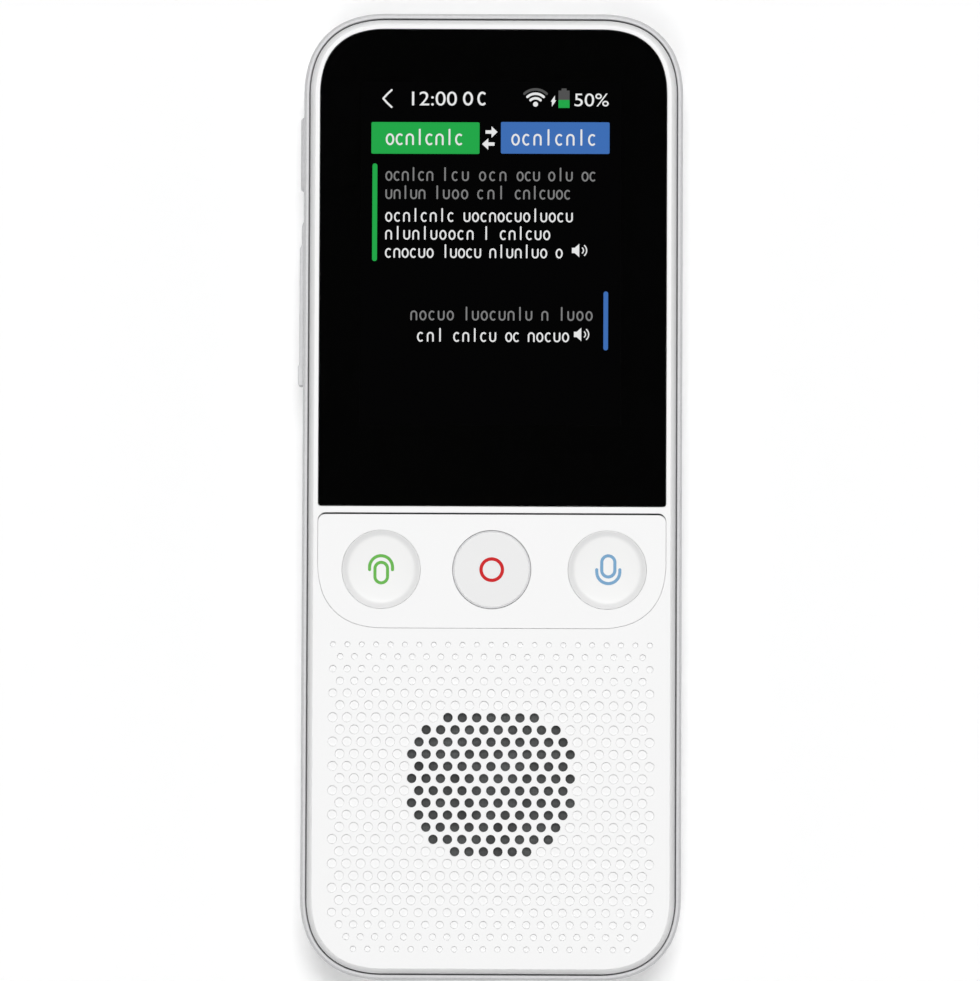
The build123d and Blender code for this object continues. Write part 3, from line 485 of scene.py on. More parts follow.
def make_finishes():
    """All materials, by the record's slot names."""
    made = {}

    white = Finish("moulded_white", (0.92, 0.92, 0.92), Roughness=0.4, Specular_IOR_Level=0.4)
    white.mixed("Roughness", 0.36, 0.46, white.noise(0.25))
    white.relief(white.noise(6.0, 3.0), 0.003, 0.3)
    made["cover_white"] = white

    back = Finish("textured_white", (0.84, 0.84, 0.85), Roughness=0.6)
    back.mixed("Roughness", 0.52, 0.68, back.noise(0.5))
    back.relief(back.noise(9.0, 2.0, 0.6), 0.03, 0.6)
    made["back_white"] = back

    silver = Finish("satin_silver", (0.6, 0.6, 0.61), Roughness=0.5, Metallic=0.12)
    mottle = silver.noise(2.2, 3.0, 0.6)
    silver.feed("Base Color", silver.between(mottle, (0.54, 0.54, 0.55), (0.66, 0.66, 0.67)))
    silver.mixed("Roughness", 0.44, 0.56, silver.noise(7.0, 2.0))
    silver.relief(silver.noise(8.0, 2.0), 0.004, 0.4)
    made["frame_silver"] = silver

    made["key_grey"] = Finish("key_white", (0.83, 0.83, 0.83), Roughness=0.38, Specular_IOR_Level=0.4)
    clear = {"Roughness": 0.0, "IOR": 1.45, "Transmission_Weight": 1.0, "Specular_IOR_Level": 0.25}
    made["key_glass"] = Finish("screen_glass", (0.96, 0.97, 0.97), **clear)
    made["display_black"] = Finish(
        "display_cell", (0.002, 0.002, 0.002), Roughness=1.0, Specular_IOR_Level=0.0
    )
    made["tape_black"] = Finish("foam_tape", (0.012, 0.012, 0.012), Roughness=0.85)
    foam = Finish("open_foam", (0.03, 0.03, 0.03), Roughness=0.95)
    made["foam_grey"] = foam.relief(foam.noise(5.0, 3.0), 0.12)
    rubber = Finish("seal_rubber", (0.16, 0.16, 0.165), Roughness=0.75)
    made["rubber_grey"] = rubber.relief(rubber.noise(6.0), 0.01)

    board = Finish("solder_mask", (0.01, 0.11, 0.035), Roughness=0.35)
    tint = board.between(board.noise(0.4, 4.0), (0.008, 0.085, 0.028), (0.015, 0.14, 0.045))
    made["board_green"] = board.feed("Base Color", tint)
    flex = Finish("amber_film", (0.5, 0.2, 0.02), Roughness=0.3)
    tint = flex.between(flex.noise(0.6), (0.42, 0.15, 0.012), (0.56, 0.24, 0.03))
    made["flex_amber"] = flex.feed("Base Color", tint)

    for slot, label, shade, rough in (
        ("can_steel", "tinned_steel", (0.56, 0.56, 0.55), 0.3),
        ("screw_steel", "zinc_steel", (0.4, 0.4, 0.41), 0.35),
        ("magnet_steel", "nickel_steel", (0.45, 0.44, 0.42), 0.25),
    ):
        steel = Finish(label, shade, Metallic=1.0, Roughness=rough)
        brushed = steel.noise(1.0, 3.0, 0.6, (0.2, 3.0, 3.0))
        made[slot] = steel.mixed("Roughness", rough - 0.08, rough + 0.12, brushed)

    made["socket_black"] = Finish("moulded_black", (0.014, 0.014, 0.014), Roughness=0.5)
    mesh = Finish("woven_mesh", (0.08, 0.08, 0.08), Roughness=0.6)
    threads = mesh.weave(WEAVE_PITCH) * (mesh.noise(0.3, 1.0) * 2.2 - 0.35)
    mesh.feed("Base Color", mesh.between(threads, (0.006, 0.0065, 0.0065), (0.085, 0.09, 0.09)))
    made["mesh_black"] = mesh.relief(threads, 0.05, 0.5)
    cone = Finish("pressed_paper", (0.02, 0.02, 0.02), Roughness=0.9)
    made["cone_black"] = cone.relief(cone.noise(4.0, 4.0), 0.05)
    made["battery_foil"] = Finish("battery_wrap", (0.05, 0.05, 0.055), Roughness=0.45)
    return {slot: finish.material for slot, finish in made.items()}


def ink(name, shade, rough=0.5, shine=0.12):
    """A plain printed ink."""
    return Finish(name, shade, Roughness=rough, Specular_IOR_Level=shine).material


def lamp_ink(name, shade):
    """A lit patch of the display: black, with light of its own."""
    light = {"Emission_Color": (*shade, 1.0), "Emission_Strength": 1.0}
    return Finish(name, (0.0, 0.0, 0.0), Roughness=1.0, Specular_IOR_Level=0.0, **light).material


FINISHES = {}

# ---- The moulded face ----

WALL_HEIGHT = 2.0  # of the face's outer wall
WALL_THICKNESS = 1.2
EDGE_STEPS = 8
EDGE_CROWDING = 1.5  # makes the steps of the rounded edge finer towards its top
EDGE_POWER = 1.08  # the edge falls by drop * part^EDGE_POWER over part of its width
LIP = 0.03  # chamfer round the recesses of the glass and the key plate
GLASS_BED = 0.15  # depth of the glass's recess under the glass
PLATE_BED = 0.8  # depth of the key plate's recess under the plate's top
WINDOW_GAP = 0.2  # round the display cell
KEY_WELL_GAP = 0.2  # round a key's flange

GRILLE_ROWS = 26
GRILLE_COLUMNS = 23  # in every other row, with one fewer in the rows between
LAST_COLUMNS = (21, 20)  # in the last two rows
GRILLE_TOP = -21.23
GRILLE_REACH = 12.03  # how far from the speaker's middle the dots go right through
GRILLE_BAND = 10.4  # how far up and down from it they do
FIRST_DOT, DOT_GROWTH = 0.59, 0.075  # the first row's share of the full size, and its growth per row
SHRINK_ROW, SHRINK_START, DOT_SHRINKAGE = 20.5, 1.02, 0.085  # that share at a row, and its fall per row
DOT_SIDES = 20
DOT_MOAT = 0.1  # how far the groove round a blind dot's floor lies below it
DOT_CHAMFER = 0.01
DOT_INSETS = (0.0, DOT_CHAMFER, 0.02, 0.07, 0.09)  # rim, chamfer, both sides of the groove, and floor
HOLE_CHAMFER = 0.035

SEAL_HEIGHT = 0.3
SEAL_GAP = 0.02  # on each side of a seal
RIM_GAP = 0.2  # between the side frame's rim and the face
SEAL_END = 0.3  # how far short of the key plate's side its seal ends


def grille_dots(pitch, row_pitch, size, hole_size):
    """Middles and radii of the dots of a staggered grid, and which of them are open.

    Dots grow over the first rows, to the full size, and shrink over the last ones.
    """
    row = np.arange(GRILLE_ROWS)
    columns = GRILLE_COLUMNS - row % 2
    columns[-2:] = LAST_COLUMNS
    rows = np.repeat(row, columns)
    first = np.repeat(np.cumsum(columns) - columns, columns)
    column = np.arange(len(rows)) - first
    x = (column - (np.repeat(columns, columns) - 1) / 2) * pitch
    y = GRILLE_TOP - rows * row_pitch
    grown = np.minimum(FIRST_DOT + DOT_GROWTH * rows, 1.0)
    shrunk = np.minimum(1.0, SHRINK_START - DOT_SHRINKAGE * np.maximum(rows - SHRINK_ROW, 0))
    is_open = (np.hypot(x, y - SPEAKER_Y) < GRILLE_REACH) & (np.abs(y - SPEAKER_Y) < GRILLE_BAND)
    return np.stack([x, y], 1), np.where(is_open, hole_size, size * grown * shrunk) / 2, is_open


def lay_dots(shell, sizes):
    """Sinks the blind dots and bores the sound holes. Returns all rims, and the holes' rims at the back."""
    middles, radii, is_open = grille_dots(*in_mm(sizes, "dot_pitch", "row_pitch", "dot_size", "hole_size"))
    depth = sizes.dot_depth / MM
    bore = [(0.0, FRONT_Z), (-HOLE_CHAMFER, FRONT_Z - HOLE_CHAMFER), (-HOLE_CHAMFER, GRILLE_BACK_Z)]
    shell.rings(middles[is_open], radii[is_open], bore, DOT_SIDES)
    depths = (0.0, DOT_CHAMFER, depth + DOT_MOAT, depth + DOT_MOAT, depth)
    blind = [(-inset, FRONT_Z - below) for inset, below in zip(DOT_INSETS, depths)]
    shell.rings(middles[~is_open], radii[~is_open], blind, DOT_SIDES)
    shell.discs(middles[~is_open], radii[~is_open] - DOT_INSETS[-1], FRONT_Z - depth, DOT_SIDES)
    rims = [round_loop(x, y, r, DOT_SIDES) for (x, y), r in zip(middles, radii)]
    bored = zip(middles[is_open], radii[is_open] - HOLE_CHAMFER)
    return rims, [round_loop(x, y, r, DOT_SIDES) for (x, y), r in bored]


class TRANSLATOR_OT_face(bpy.types.Operator):
    """Builds the moulded white face with its recesses, its blind dots and its sound holes"""

    bl_idname = "translator.face"
    bl_label = "Moulded face"

    def execute(self, context):
        sizes = context.scene.translator_face
        bevel, drop, gap, groove = in_mm(sizes, "bevel", "drop", "seat_gap", "groove")
        shell = Surface()
        part = np.linspace(1.0, 0.0, EDGE_STEPS + 1) ** EDGE_CROWDING
        edge = np.stack([COVER_INSET + bevel * (1 - part), FRONT_Z - drop * part**EDGE_POWER], 1)
        inner, foot = COVER_INSET + WALL_THICKNESS, FRONT_Z - WALL_HEIGHT
        profile = [(inner, GRILLE_BACK_Z), (inner, foot), (COVER_INSET, foot), *edge]
        shell.sheet([at_height(body_loop(inset), z) for inset, z in profile])

        glass, glass_lip, seat_z = glass_loop(gap), glass_loop(gap + LIP), GLASS_LOW[2] - GLASS_BED
        plate, plate_lip = plate_loop(gap, groove), plate_loop(gap + LIP, groove + LIP)
        floor_z = PLATE_HIGH[2] - PLATE_BED
        for wall, lip, z in ((glass, glass_lip, seat_z), (plate, plate_lip, floor_z)):
            shell.sheet([at_height(lip, FRONT_Z), at_height(wall, FRONT_Z - LIP), at_height(wall, z)])
        window = box_loop(*(CELL_LOW[:2] - WINDOW_GAP), *(CELL_HIGH[:2] + WINDOW_GAP))
        wells = []
        for node in ("left_key", "record_key", "right_key"):
            low, high = span(node)
            wells.append(octagon(*key_middle(node), (high[0] - low[0]) / 2 + KEY_WELL_GAP))
        shell.flat(glass, [window], seat_z)
        shell.flat(plate, wells, floor_z)
        for opening, z in ((window, seat_z), *((well, floor_z) for well in wells)):
            shell.wall(opening, z, GRILLE_BACK_Z)

        rims, bores = lay_dots(shell, sizes)
        shell.flat(body_loop(COVER_INSET + bevel), [glass_lip, plate_lip, *rims], FRONT_Z)
        shell.flat(body_loop(inner), [window, *wells, *bores], GRILLE_BACK_Z)
        piece = shell.solid("moulded_face")
        settle(piece, "housing", "cover_white", stands_for=["front_cover"])
        return {"FINISHED"}


class TRANSLATOR_OT_seals(bpy.types.Operator):
    """Lays the dark strips in the grooves above the key plate and round the face; the strip round the face
    darkens that gap as painted shade
    """

    bl_idname = "translator.seals"
    bl_label = "Seals"

    def execute(self, context):
        groove = context.scene.translator_face.groove / MM
        strip = Surface()
        side, top, foot = PLATE_HIGH[0] - SEAL_END, PLATE_HIGH[1], PLATE_HIGH[2] - PLATE_BED
        loop = box_loop(-side, top + SEAL_GAP, side, top + groove - SEAL_GAP)
        strip.wall(loop, foot, foot + SEAL_HEIGHT)
        strip.face(loop, foot)
        strip.face(loop, foot + SEAL_HEIGHT)
        settle(strip.solid("plate_seal", False), "housing", "foam_grey")

        # A dark rubber strip at the foot of the gap between the side frame's rim and the face, put there to
        # darken the gap as painted shade.
        ring = Surface()
        outer, inner = COVER_INSET - RIM_GAP + SEAL_GAP, COVER_INSET - SEAL_GAP
        low, high = FRONT_Z - WALL_HEIGHT, FRONT_Z - WALL_HEIGHT + SEAL_HEIGHT
        around = ((outer, low), (outer, high), (inner, high), (inner, low), (outer, low))
        ring.sheet([at_height(body_loop(inset), z) for inset, z in around])
        settle(ring.solid("rim_gap_shade", False), "housing", "rubber_grey")
        return {"FINISHED"}


# ---- Keys ----

KEY_SIDES = 96
KEY_FLANGE = 0.7  # how far a key's flange reaches past its cap
KEY_FLANGE_THICKNESS = 0.5
KEY_SHOULDER_GAP = 0.06  # between the flange and the key plate
POST_SIZE = 2.4
CAP_START = 0.6  # radius of the flat disc in a cap's middle
DISH_RIM = 0.64  # width of a dished key's bevelled rim
DISH_DEPTH = 0.32  # of the hollow's edge below the key's top
DISH_CROWN = 0.15  # how much deeper the hollow's middle is
DISH_STEPS = 9
DISH_END = 0.12  # how far inside its rim's foot the hollow ends
RIM_START = (0.05, 0.03)  # how far outside and above its foot the rim begins

# Edges of the caps and of the record key's grey ring, which fills the groove round the key as painted groove
# shade: how far past the cap's radius and below its top.
DISHED_EDGE = ((-0.02, 0.05), (0.05, 0.01), (0.1, 0.01), (0.15, 0.03), (0.175, 0.1))
FLAT_EDGE = ((-0.2, 0.0), (-0.13, 0.0), (-0.1, 0.02), (-0.09, 0.5), (0.13, 0.54), (0.15, 0.62))
RING_EDGE = ((0.13, 0.5), (0.13, 0.06), (0.1, 0.03), (-0.1, 0.03), (-0.1, 0.5), (0.13, 0.5))

# The rim's darker colour is painted shade: the dished keys' bevelled rims are coloured greyer than their
# hollows to stand for the shade on them.
DISH_SHADE, RIM_PAINTED_SHADE = (0.89, 0.89, 0.885), (0.8, 0.8, 0.8)
PAINTED_SHADE_INSETS = (0.35, 0.3)  # of the shades' meeting, from the rim's foot and from the cap's edge


def cap_radius(node):
    """Radius of a key's cap."""
    low, high = span(node)
    return (high[0] - low[0]) / 2 - KEY_FLANGE


def dish_height(node):
    """Height of a dished key's hollow, as a function of points in plan.

    z = top - DISH_DEPTH - DISH_CROWN * (1 - (r / foot)^2), where r is the distance from the key's middle
    and foot the radius at which the hollow meets its bevelled rim.
    """
    middle, top = np.array(key_middle(node)), span(node)[1][2]
    foot = cap_radius(node) - DISH_RIM

    def height(points):
        reach = np.linalg.norm(points - middle, axis=-1) / foot
        return top - DISH_DEPTH - DISH_CROWN * (1 - reach**2)

    return height


def edge_profile(node, edge):
    """Radii and heights of an edge, from how far past a cap's radius and below its top its points are."""
    radius, top = cap_radius(node), span(node)[1][2]
    return [(radius + past, top - below) for past, below in edge]


def cap_profile(node, dished):
    """Radii and heights of a key's cap, from near its axis over its edge and down its side to its flange."""
    top = span(node)[1][2]
    edge = edge_profile(node, DISHED_EDGE if dished else FLAT_EDGE)
    side = (edge[-1][0], PLATE_LOW[2] - KEY_SHOULDER_GAP)
    if not dished:
        return [(CAP_START, top), *edge, side]
    height, middle, foot = dish_height(node), np.array(key_middle(node)), cap_radius(node) - DISH_RIM
    reaches = np.linspace(CAP_START, foot - DISH_END, DISH_STEPS)
    hollow = [(reach, height(middle + (reach, 0.0))) for reach in reaches]
    return [*hollow, (foot + RIM_START[0], top - DISH_DEPTH + RIM_START[1]), *edge, side]


def key_surface(node, dished):
    """A key's cap, its flange and its post, as one closed surface."""
    low, high = span(node)
    x, y = key_middle(node)
    key = Surface()
    profile = cap_profile(node, dished)
    middle, axis = np.array([[x, y]]), np.zeros(1)
    key.rings(middle, axis, profile, KEY_SIDES)
    key.discs(middle, axis + profile[0][0], profile[0][1], KEY_SIDES)
    reach, shoulder = profile[-1]
    foot = shoulder - KEY_FLANGE_THICKNESS
    flange = octagon(x, y, high[0] - x)
    half = POST_SIZE / 2
    post = box_loop(x - half, y - half, x + half, y + half)
    key.flat(flange, [round_loop(x, y, reach, KEY_SIDES)], shoulder)
    key.wall(flange, shoulder, foot)
    key.flat(flange, [post], foot)
    key.wall(post, foot, low[2])
    key.face(post, low[2])
    return key


def key_finish(name, node, dished):
    """Pale satin plastic. A dished key's rim is painted greyer than its hollow, as painted shade on the rim.
    """
    finish = Finish(name, (0.83, 0.83, 0.83), Roughness=0.38, Specular_IOR_Level=0.4)
    if dished:
        spot = finish.place((1.0, 1.0, 0.0), (*key_middle(node), 0.0))
        reach = finish.node("ShaderNodeVectorMath", {"operation": "LENGTH"}, {0: spot}, 1)
        radius = cap_radius(node)
        near, far = radius - DISH_RIM - PAINTED_SHADE_INSETS[0], radius - PAINTED_SHADE_INSETS[1]
        inputs = {"Value": reach, "From Min": near, "From Max": far}
        # A mask from the hollow out to the rim, where the painted shade is laid.
        rim = finish.node("ShaderNodeMapRange", {"interpolation_type": "SMOOTHSTEP"}, inputs)
        finish.feed("Base Color", finish.between(rim, DISH_SHADE, RIM_PAINTED_SHADE))
    finish.mixed("Roughness", 0.34, 0.44, finish.noise(0.5))
    return finish.relief(finish.noise(7.0, 2.0), 0.002, 0.3).material


class TRANSLATOR_OT_keys(bpy.types.Operator):
    """Builds the three round keys, each with its flange and its post, and the grey ring round the record
    key, whose colour is painted shade of the groove it fills
    """

    bl_idname = "translator.keys"
    bl_label = "Keys"

    def execute(self, context):
        for node, dished in (("left_key", True), ("record_key", False), ("right_key", True)):
            piece = key_surface(node, dished).solid(f"{node}_cap")
            settle(piece, node, "key_grey", key_finish(f"{node}_white", node, dished), [node])
        # The silver-grey ring fills the groove round the record key; its even grey is painted shade standing
        # in for the groove's shadow.
        middle, around = key_middle("record_key"), edge_profile("record_key", RING_EDGE)
        ring = Surface()
        ring.sheet([at_height(round_loop(*middle, reach, KEY_SIDES), z) for reach, z in around])
        settle(ring.solid("record_shade_ring"), "record_key", "frame_silver")
        return {"FINISHED"}


# ---- Marks on the keys ----

MARK_LIFT = 0.012
MARK_STROKE = 0.44
RING_RADIUS, RING_STROKE, RING_SIDES = 1.52, 0.48, 72
# Of each microphone: its ink, its capsule, its bow, how far the bow turns, and where the bow's legs end.
MICROPHONES = {
    "left": ("green", (0.0, -0.47, 1.79, 2.91), (-0.03, 0.3, 1.63), 180.0, -0.05),
    "right": ("blue", (0.15, 0.54, 1.86, 3.0), (0.15, -0.26, 1.64), -180.0, 0.07),
}


def ribbon(path, width, closed=False, cap_steps=6):
    """The two edges, 2 x points x 2, of a line of constant width along a path, with round ends.

    Each point and its normal n give the edges p - n * width / 2 and p + n * width / 2. At an open end the
    edges close along a half circle.
    """
    path = np.asarray(path, float)
    if closed:
        ahead = np.roll(path, -1, 0) - np.roll(path, 1, 0)
    else:
        ahead = np.gradient(path, axis=0)
    ahead /= np.linalg.norm(ahead, axis=1, keepdims=True)
    side = np.stack([-ahead[:, 1], ahead[:, 0]], 1) * width / 2
    left, right = path + side, path - side
    if not closed:
        turn = np.linspace(0, math.pi / 2, cap_steps)[:-1, None]
        first = path[0] - np.cos(turn) * ahead[0] * width / 2
        last = path[-1] + np.cos(turn) * ahead[-1] * width / 2
        start, stop = np.sin(turn) * side[0], np.sin(turn) * side[-1]
        left = np.concatenate([first + start, left, (last + stop)[::-1]])
        right = np.concatenate([first - start, right, (last - stop)[::-1]])
    return np.stack([right, left])


def arc_path(x, y, radius, start, stop, steps=24):
    """Points along an arc, from start to stop degrees."""
    return polar(radius, np.radians(np.linspace(start, stop, steps + 1))) + (x, y)


def microphone(node, capsule, bow, turn, end):
    """A microphone on a dished key: a capsule and a bow over or under it, which turns by turn degrees.

    capsule is (x, y, width, height) and bow (x, y, radius), along the stroke's middle. They and the height
    at which the bow's legs end are taken from the key's middle.
    """
    middle, height = np.array(key_middle(node)), dish_height(node)

    def lifted(points):
        return height(points) + MARK_LIFT

    mark = Surface()
    body = capsule_loop(*capsule, capsule[2] / 2) + middle
    arc = arc_path(*bow, 0.0, turn)
    legs = [(arc[place][0], end) for place in (0, -1)]
    path = np.concatenate([legs[:1], arc, legs[1:]]) + middle
    mark.sheet(at_height(ribbon(body, MARK_STROKE, True), lifted), True)
    mark.sheet(at_height(ribbon(path, MARK_STROKE), lifted), False)
    return mark


class TRANSLATOR_OT_marks(bpy.types.Operator):
    """Prints a microphone on each outer key and a ring on the record key"""

    bl_idname = "translator.marks"
    bl_label = "Key marks"

    def execute(self, context):
        colours = context.scene.translator_marks
        for side, (shade, *shape) in MICROPHONES.items():
            mark = microphone(f"{side}_key", *shape).build(f"{side}_mark")
            settle(mark, f"{side}_key", "key_grey", ink(f"{shade}_ink", getattr(colours, shade)))
        mark = Surface()
        ring = ribbon(round_loop(*key_middle("record_key"), RING_RADIUS, RING_SIDES), RING_STROKE, True)
        mark.sheet(at_height(ring, span("record_key")[1][2] + MARK_LIFT))
        settle(mark.build("record_mark"), "record_key", "key_grey", ink("red_ink", colours.red))
        return {"FINISHED"}


# ---- Display ----

LIT_BOX = (-18.87, 10.04, 18.22, 59.0)  # opposite corners of the window in the black border
PAGE_BOX = (-19.87, 9.04, 19.22, 60.0)  # of the lit page behind it
BORDER_INSET = 0.02  # of the border from the glass's side
PAGE_LIFT, BORDER_LIFT, INK_LIFT, LABEL_LIFT = 0.01, 0.015, 0.02, 0.03  # into the glass, from its underside
DIM = 0.4  # brightness of the dim marks, as a share of the grey ones

LETTER_PITCH = 1.25
LETTER_STROKE = 0.22
LETTER_HEIGHT = 1.42
LETTER_MIDDLE = 0.45
LETTER_BOWL = 0.4  # half width of the round letters
LETTER_ARCH = 0.38  # half width of the arch and the cup
STEM_HEIGHT = 2.0
WORD_GAP = 1.0

# Each line of the page: its foot, its left end, the widths of its words and its colour.
LINES = (
    (44.8, -15.34, (7.0, 4.35, 4.35, 3.5, 3.75, 2.25), "grey"),
    (42.2, -15.34, (5.9, 5.2, 4.35, 8.2), "grey"),
    (38.95, -15.34, (10.15, 15.8), "white"),
    (36.4, -15.34, (12.9, 1.45, 7.4), "white"),
    (33.8, -15.34, (7.1, 5.75, 8.45, 1.3), "white"),
    (24.9, -11.7, (6.5, 10.15, 1.4, 5.2), "grey"),
    (21.85, -10.72, (4.15, 6.4, 2.2, 6.1), "white"),
)
# The boxes' words and the letters behind the clock: foot, left end, widths and size.
LABELS = ((49.9, -15.3, (11.3,), 1.2), (49.9, 2.6, (12.5,), 1.2), (55.6, -4.3, (4.1,), 1.42))

# Round boxes: colour, middle, width, height and corner radius.
PANELS = (("green", -9.705, 50.95, 15.41, 4.52, 0.2), ("blue", 8.79, 51.02, 15.48, 4.52, 0.2))
# The two bars and the sign for back: colour, width and points.
STROKES = (
    ("green", 0.7, ((-16.885, 46.95), (-16.885, 40.0), (-16.885, 33.68))),
    ("blue", 0.66, ((16.075, 28.8), (16.075, 25.0), (16.075, 21.05))),
    ("white", 0.27, ((-14.55, 57.8), (-15.2, 57.19), (-15.75, 56.58))),
    ("white", 0.27, ((-14.55, 55.36), (-15.2, 55.97), (-15.75, 56.58))),
)
DIGITS = (("12:00", -11.65, 55.59, -5.25, 57.6), ("50%", 11.51, 55.55, 16.4, 57.4))  # opposite corners
SIGNAL_FOOT, SIGNAL_STROKE = (5.96, 55.64), 0.36
SIGNAL_WAVES = (("dim", 2.32), ("white", 1.7), ("white", 1.05))  # radii
SIGNAL_DOT = (5.96, 55.84)
CHARGE_SIGN = (((8.72, 57.1), (8.12, 56.2), (8.72, 56.28)), ((8.3, 55.5), (8.92, 56.42), (8.3, 56.34)))
BATTERY = (  # opposite corners of its charge, its empty part and its cap
    ("green", 9.23, 55.32, 10.81, 56.46),
    ("dim", 9.23, 56.46, 10.81, 57.8),
    ("dim", 9.66, 57.8, 10.38, 58.1),
)
ARROWS = ((-1.15, 0.56, 51.84), (0.14, -1.64, 50.12))  # tail, tip and y
LOUDSPEAKERS = ((12.37, 34.96), (12.7, 22.98))


def letter_shapes():
    """Plain letter-like strokes, 2 x points x 2 each, and whether each closes: ring, arch, cup, hook, stem.

    They spell nothing: the display's text is replaced by them.
    """
    high, half = LETTER_HEIGHT - LETTER_STROKE, LETTER_STROKE / 2
    stretch, middle = (LETTER_BOWL, high / 2), (LETTER_MIDDLE, half + high / 2)
    ring = round_loop(0.0, 0.0, 1.0, 20) * stretch + middle
    arch = arc_path(LETTER_MIDDLE, half + high - LETTER_ARCH, LETTER_ARCH, 180.0, 0.0, 8)
    legs = np.array([(LETTER_MIDDLE - LETTER_ARCH, half), (LETTER_MIDDLE + LETTER_ARCH, half)])
    arch = np.concatenate([legs[:1], arch, legs[1:]])
    cup = arch * (1, -1) + (0, LETTER_HEIGHT)
    hook = arc_path(0.0, 0.0, 1.0, 55.0, 305.0, 14) * stretch + middle
    stem = np.array([(LETTER_MIDDLE, y) for y in (half, STEM_HEIGHT / 2, STEM_HEIGHT - half)])
    open_shapes = [(ribbon(path, LETTER_STROKE, False, 3), False) for path in (arch, cup, hook, stem)]
    return [(ribbon(ring, LETTER_STROKE, True), True), *open_shapes]


def letter_places(foot, left, widths, size=1.0):
    """Lower left corners of the letters of a line of words."""
    places = []
    for width in widths:
        count = max(1, round(width / (LETTER_PITCH * size)))
        places.append(np.stack([left + np.arange(count) * width / count, np.full(count, foot)], 1))
        left += width + WORD_GAP
    return np.concatenate(places)


def write(surface, places, z, size=1.0):
    """Puts a letter-like shape at every place: place n gets shape (3 n + n // 4 + n // 7) mod shapes."""
    number = np.arange(len(places))
    shapes = letter_shapes()
    choice = (number * 3 + number // 4 + number // 7) % len(shapes)
    for kind, (shape, closed) in enumerate(shapes):
        chosen = places[choice == kind]
        if len(chosen):
            surface.sheets(at_height(shape[None] * size + chosen[:, None, None], z), closed)


def number_shape(words, x0, y0, x1, y1):
    """Points in plan and triangles of plain digits that fill a box."""
    curve = bpy.data.curves.new("digits", "FONT")
    curve.body = words
    holder = bpy.data.objects.new("digits", curve)
    mesh = bpy.data.meshes.new_from_object(holder)
    mesh.calc_loop_triangles()
    points = np.empty(len(mesh.vertices) * 3)
    mesh.vertices.foreach_get("co", points)
    points = points.reshape(-1, 3)[:, :2]
    faces = np.empty(len(mesh.loop_triangles) * 3, int)
    mesh.loop_triangles.foreach_get("vertices", faces)
    low, high = points.min(0), points.max(0)
    bpy.data.objects.remove(holder)
    bpy.data.curves.remove(curve)
    bpy.data.meshes.remove(mesh)
    return (points - low) / (high - low) * (x1 - x0, y1 - y0) + (x0, y0), faces.reshape(-1, 3)


class Page:
    """The marks of the display, gathered by colour."""

    def __init__(self, z):
        self.z = z
        self.inks = {name: Surface() for name in ("white", "grey", "dim", "green", "blue")}

    def block(self, shade, loop):
        """A flat filled loop."""
        self.inks[shade].face(loop, self.z)

    def line(self, shade, path, width):
        """A line of constant width with round ends."""
        self.inks[shade].sheet(at_height(ribbon(path, width), self.z), False)

    def arrow(self, tail, tip, y, shaft=0.24, head=0.82):
        """A short arrow from tail to tip, as high above its middle as shaft and head say."""
        neck = tail + (tip - tail) * 0.5
        self.block("white", box_loop(tail, y - shaft, neck, y + shaft))
        self.block("white", [(neck, y - head), (tip, y), (neck, y + head)])

    def loudspeaker(self, x, y):
        """A small loudspeaker with two waves."""
        self.block("white", box_loop(x - 1.15, y - 0.38, x - 0.75, y + 0.38))
        cone = [(x - 0.75, y - 0.38), (x - 0.1, y - 0.95), (x - 0.1, y + 0.95), (x - 0.75, y + 0.38)]
        self.block("white", cone)
        for radius in (0.5, 0.95):
            self.line("white", arc_path(x, y, radius, -48.0, 48.0, 10), 0.17)

    def signs(self):
        """Lays the boxes, bars, digits and signs."""
        for shade, *panel in PANELS:
            self.block(shade, capsule_loop(*panel, 4))
        for shade, width, path in STROKES:
            self.line(shade, path, width)
        for words, *corners in DIGITS:
            points, faces = number_shape(words, *corners)
            self.inks["white"].add(at_height(points, self.z), faces)
        for shade, radius in SIGNAL_WAVES:
            self.line(shade, arc_path(*SIGNAL_FOOT, radius, 47.0, 133.0, 12), SIGNAL_STROKE)
        self.block("white", round_loop(*SIGNAL_DOT, SIGNAL_STROKE, 16))
        for triangle in CHARGE_SIGN:
            self.block("white", triangle)
        for shade, *corners in BATTERY:
            self.block(shade, box_loop(*corners))
        for arrow in ARROWS:
            self.arrow(*arrow)
        for place in LOUDSPEAKERS:
            self.loudspeaker(*place)

    def words(self, label_z):
        """Lays the lines of letter-like strokes, and the larger ones at label_z."""
        for shade in ("grey", "white"):
            places = [letter_places(*line) for *line, tone in LINES if tone == shade]
            write(self.inks[shade], np.concatenate(places), self.z)
        for label in LABELS:
            write(self.inks["white"], letter_places(*label), label_z, label[3])


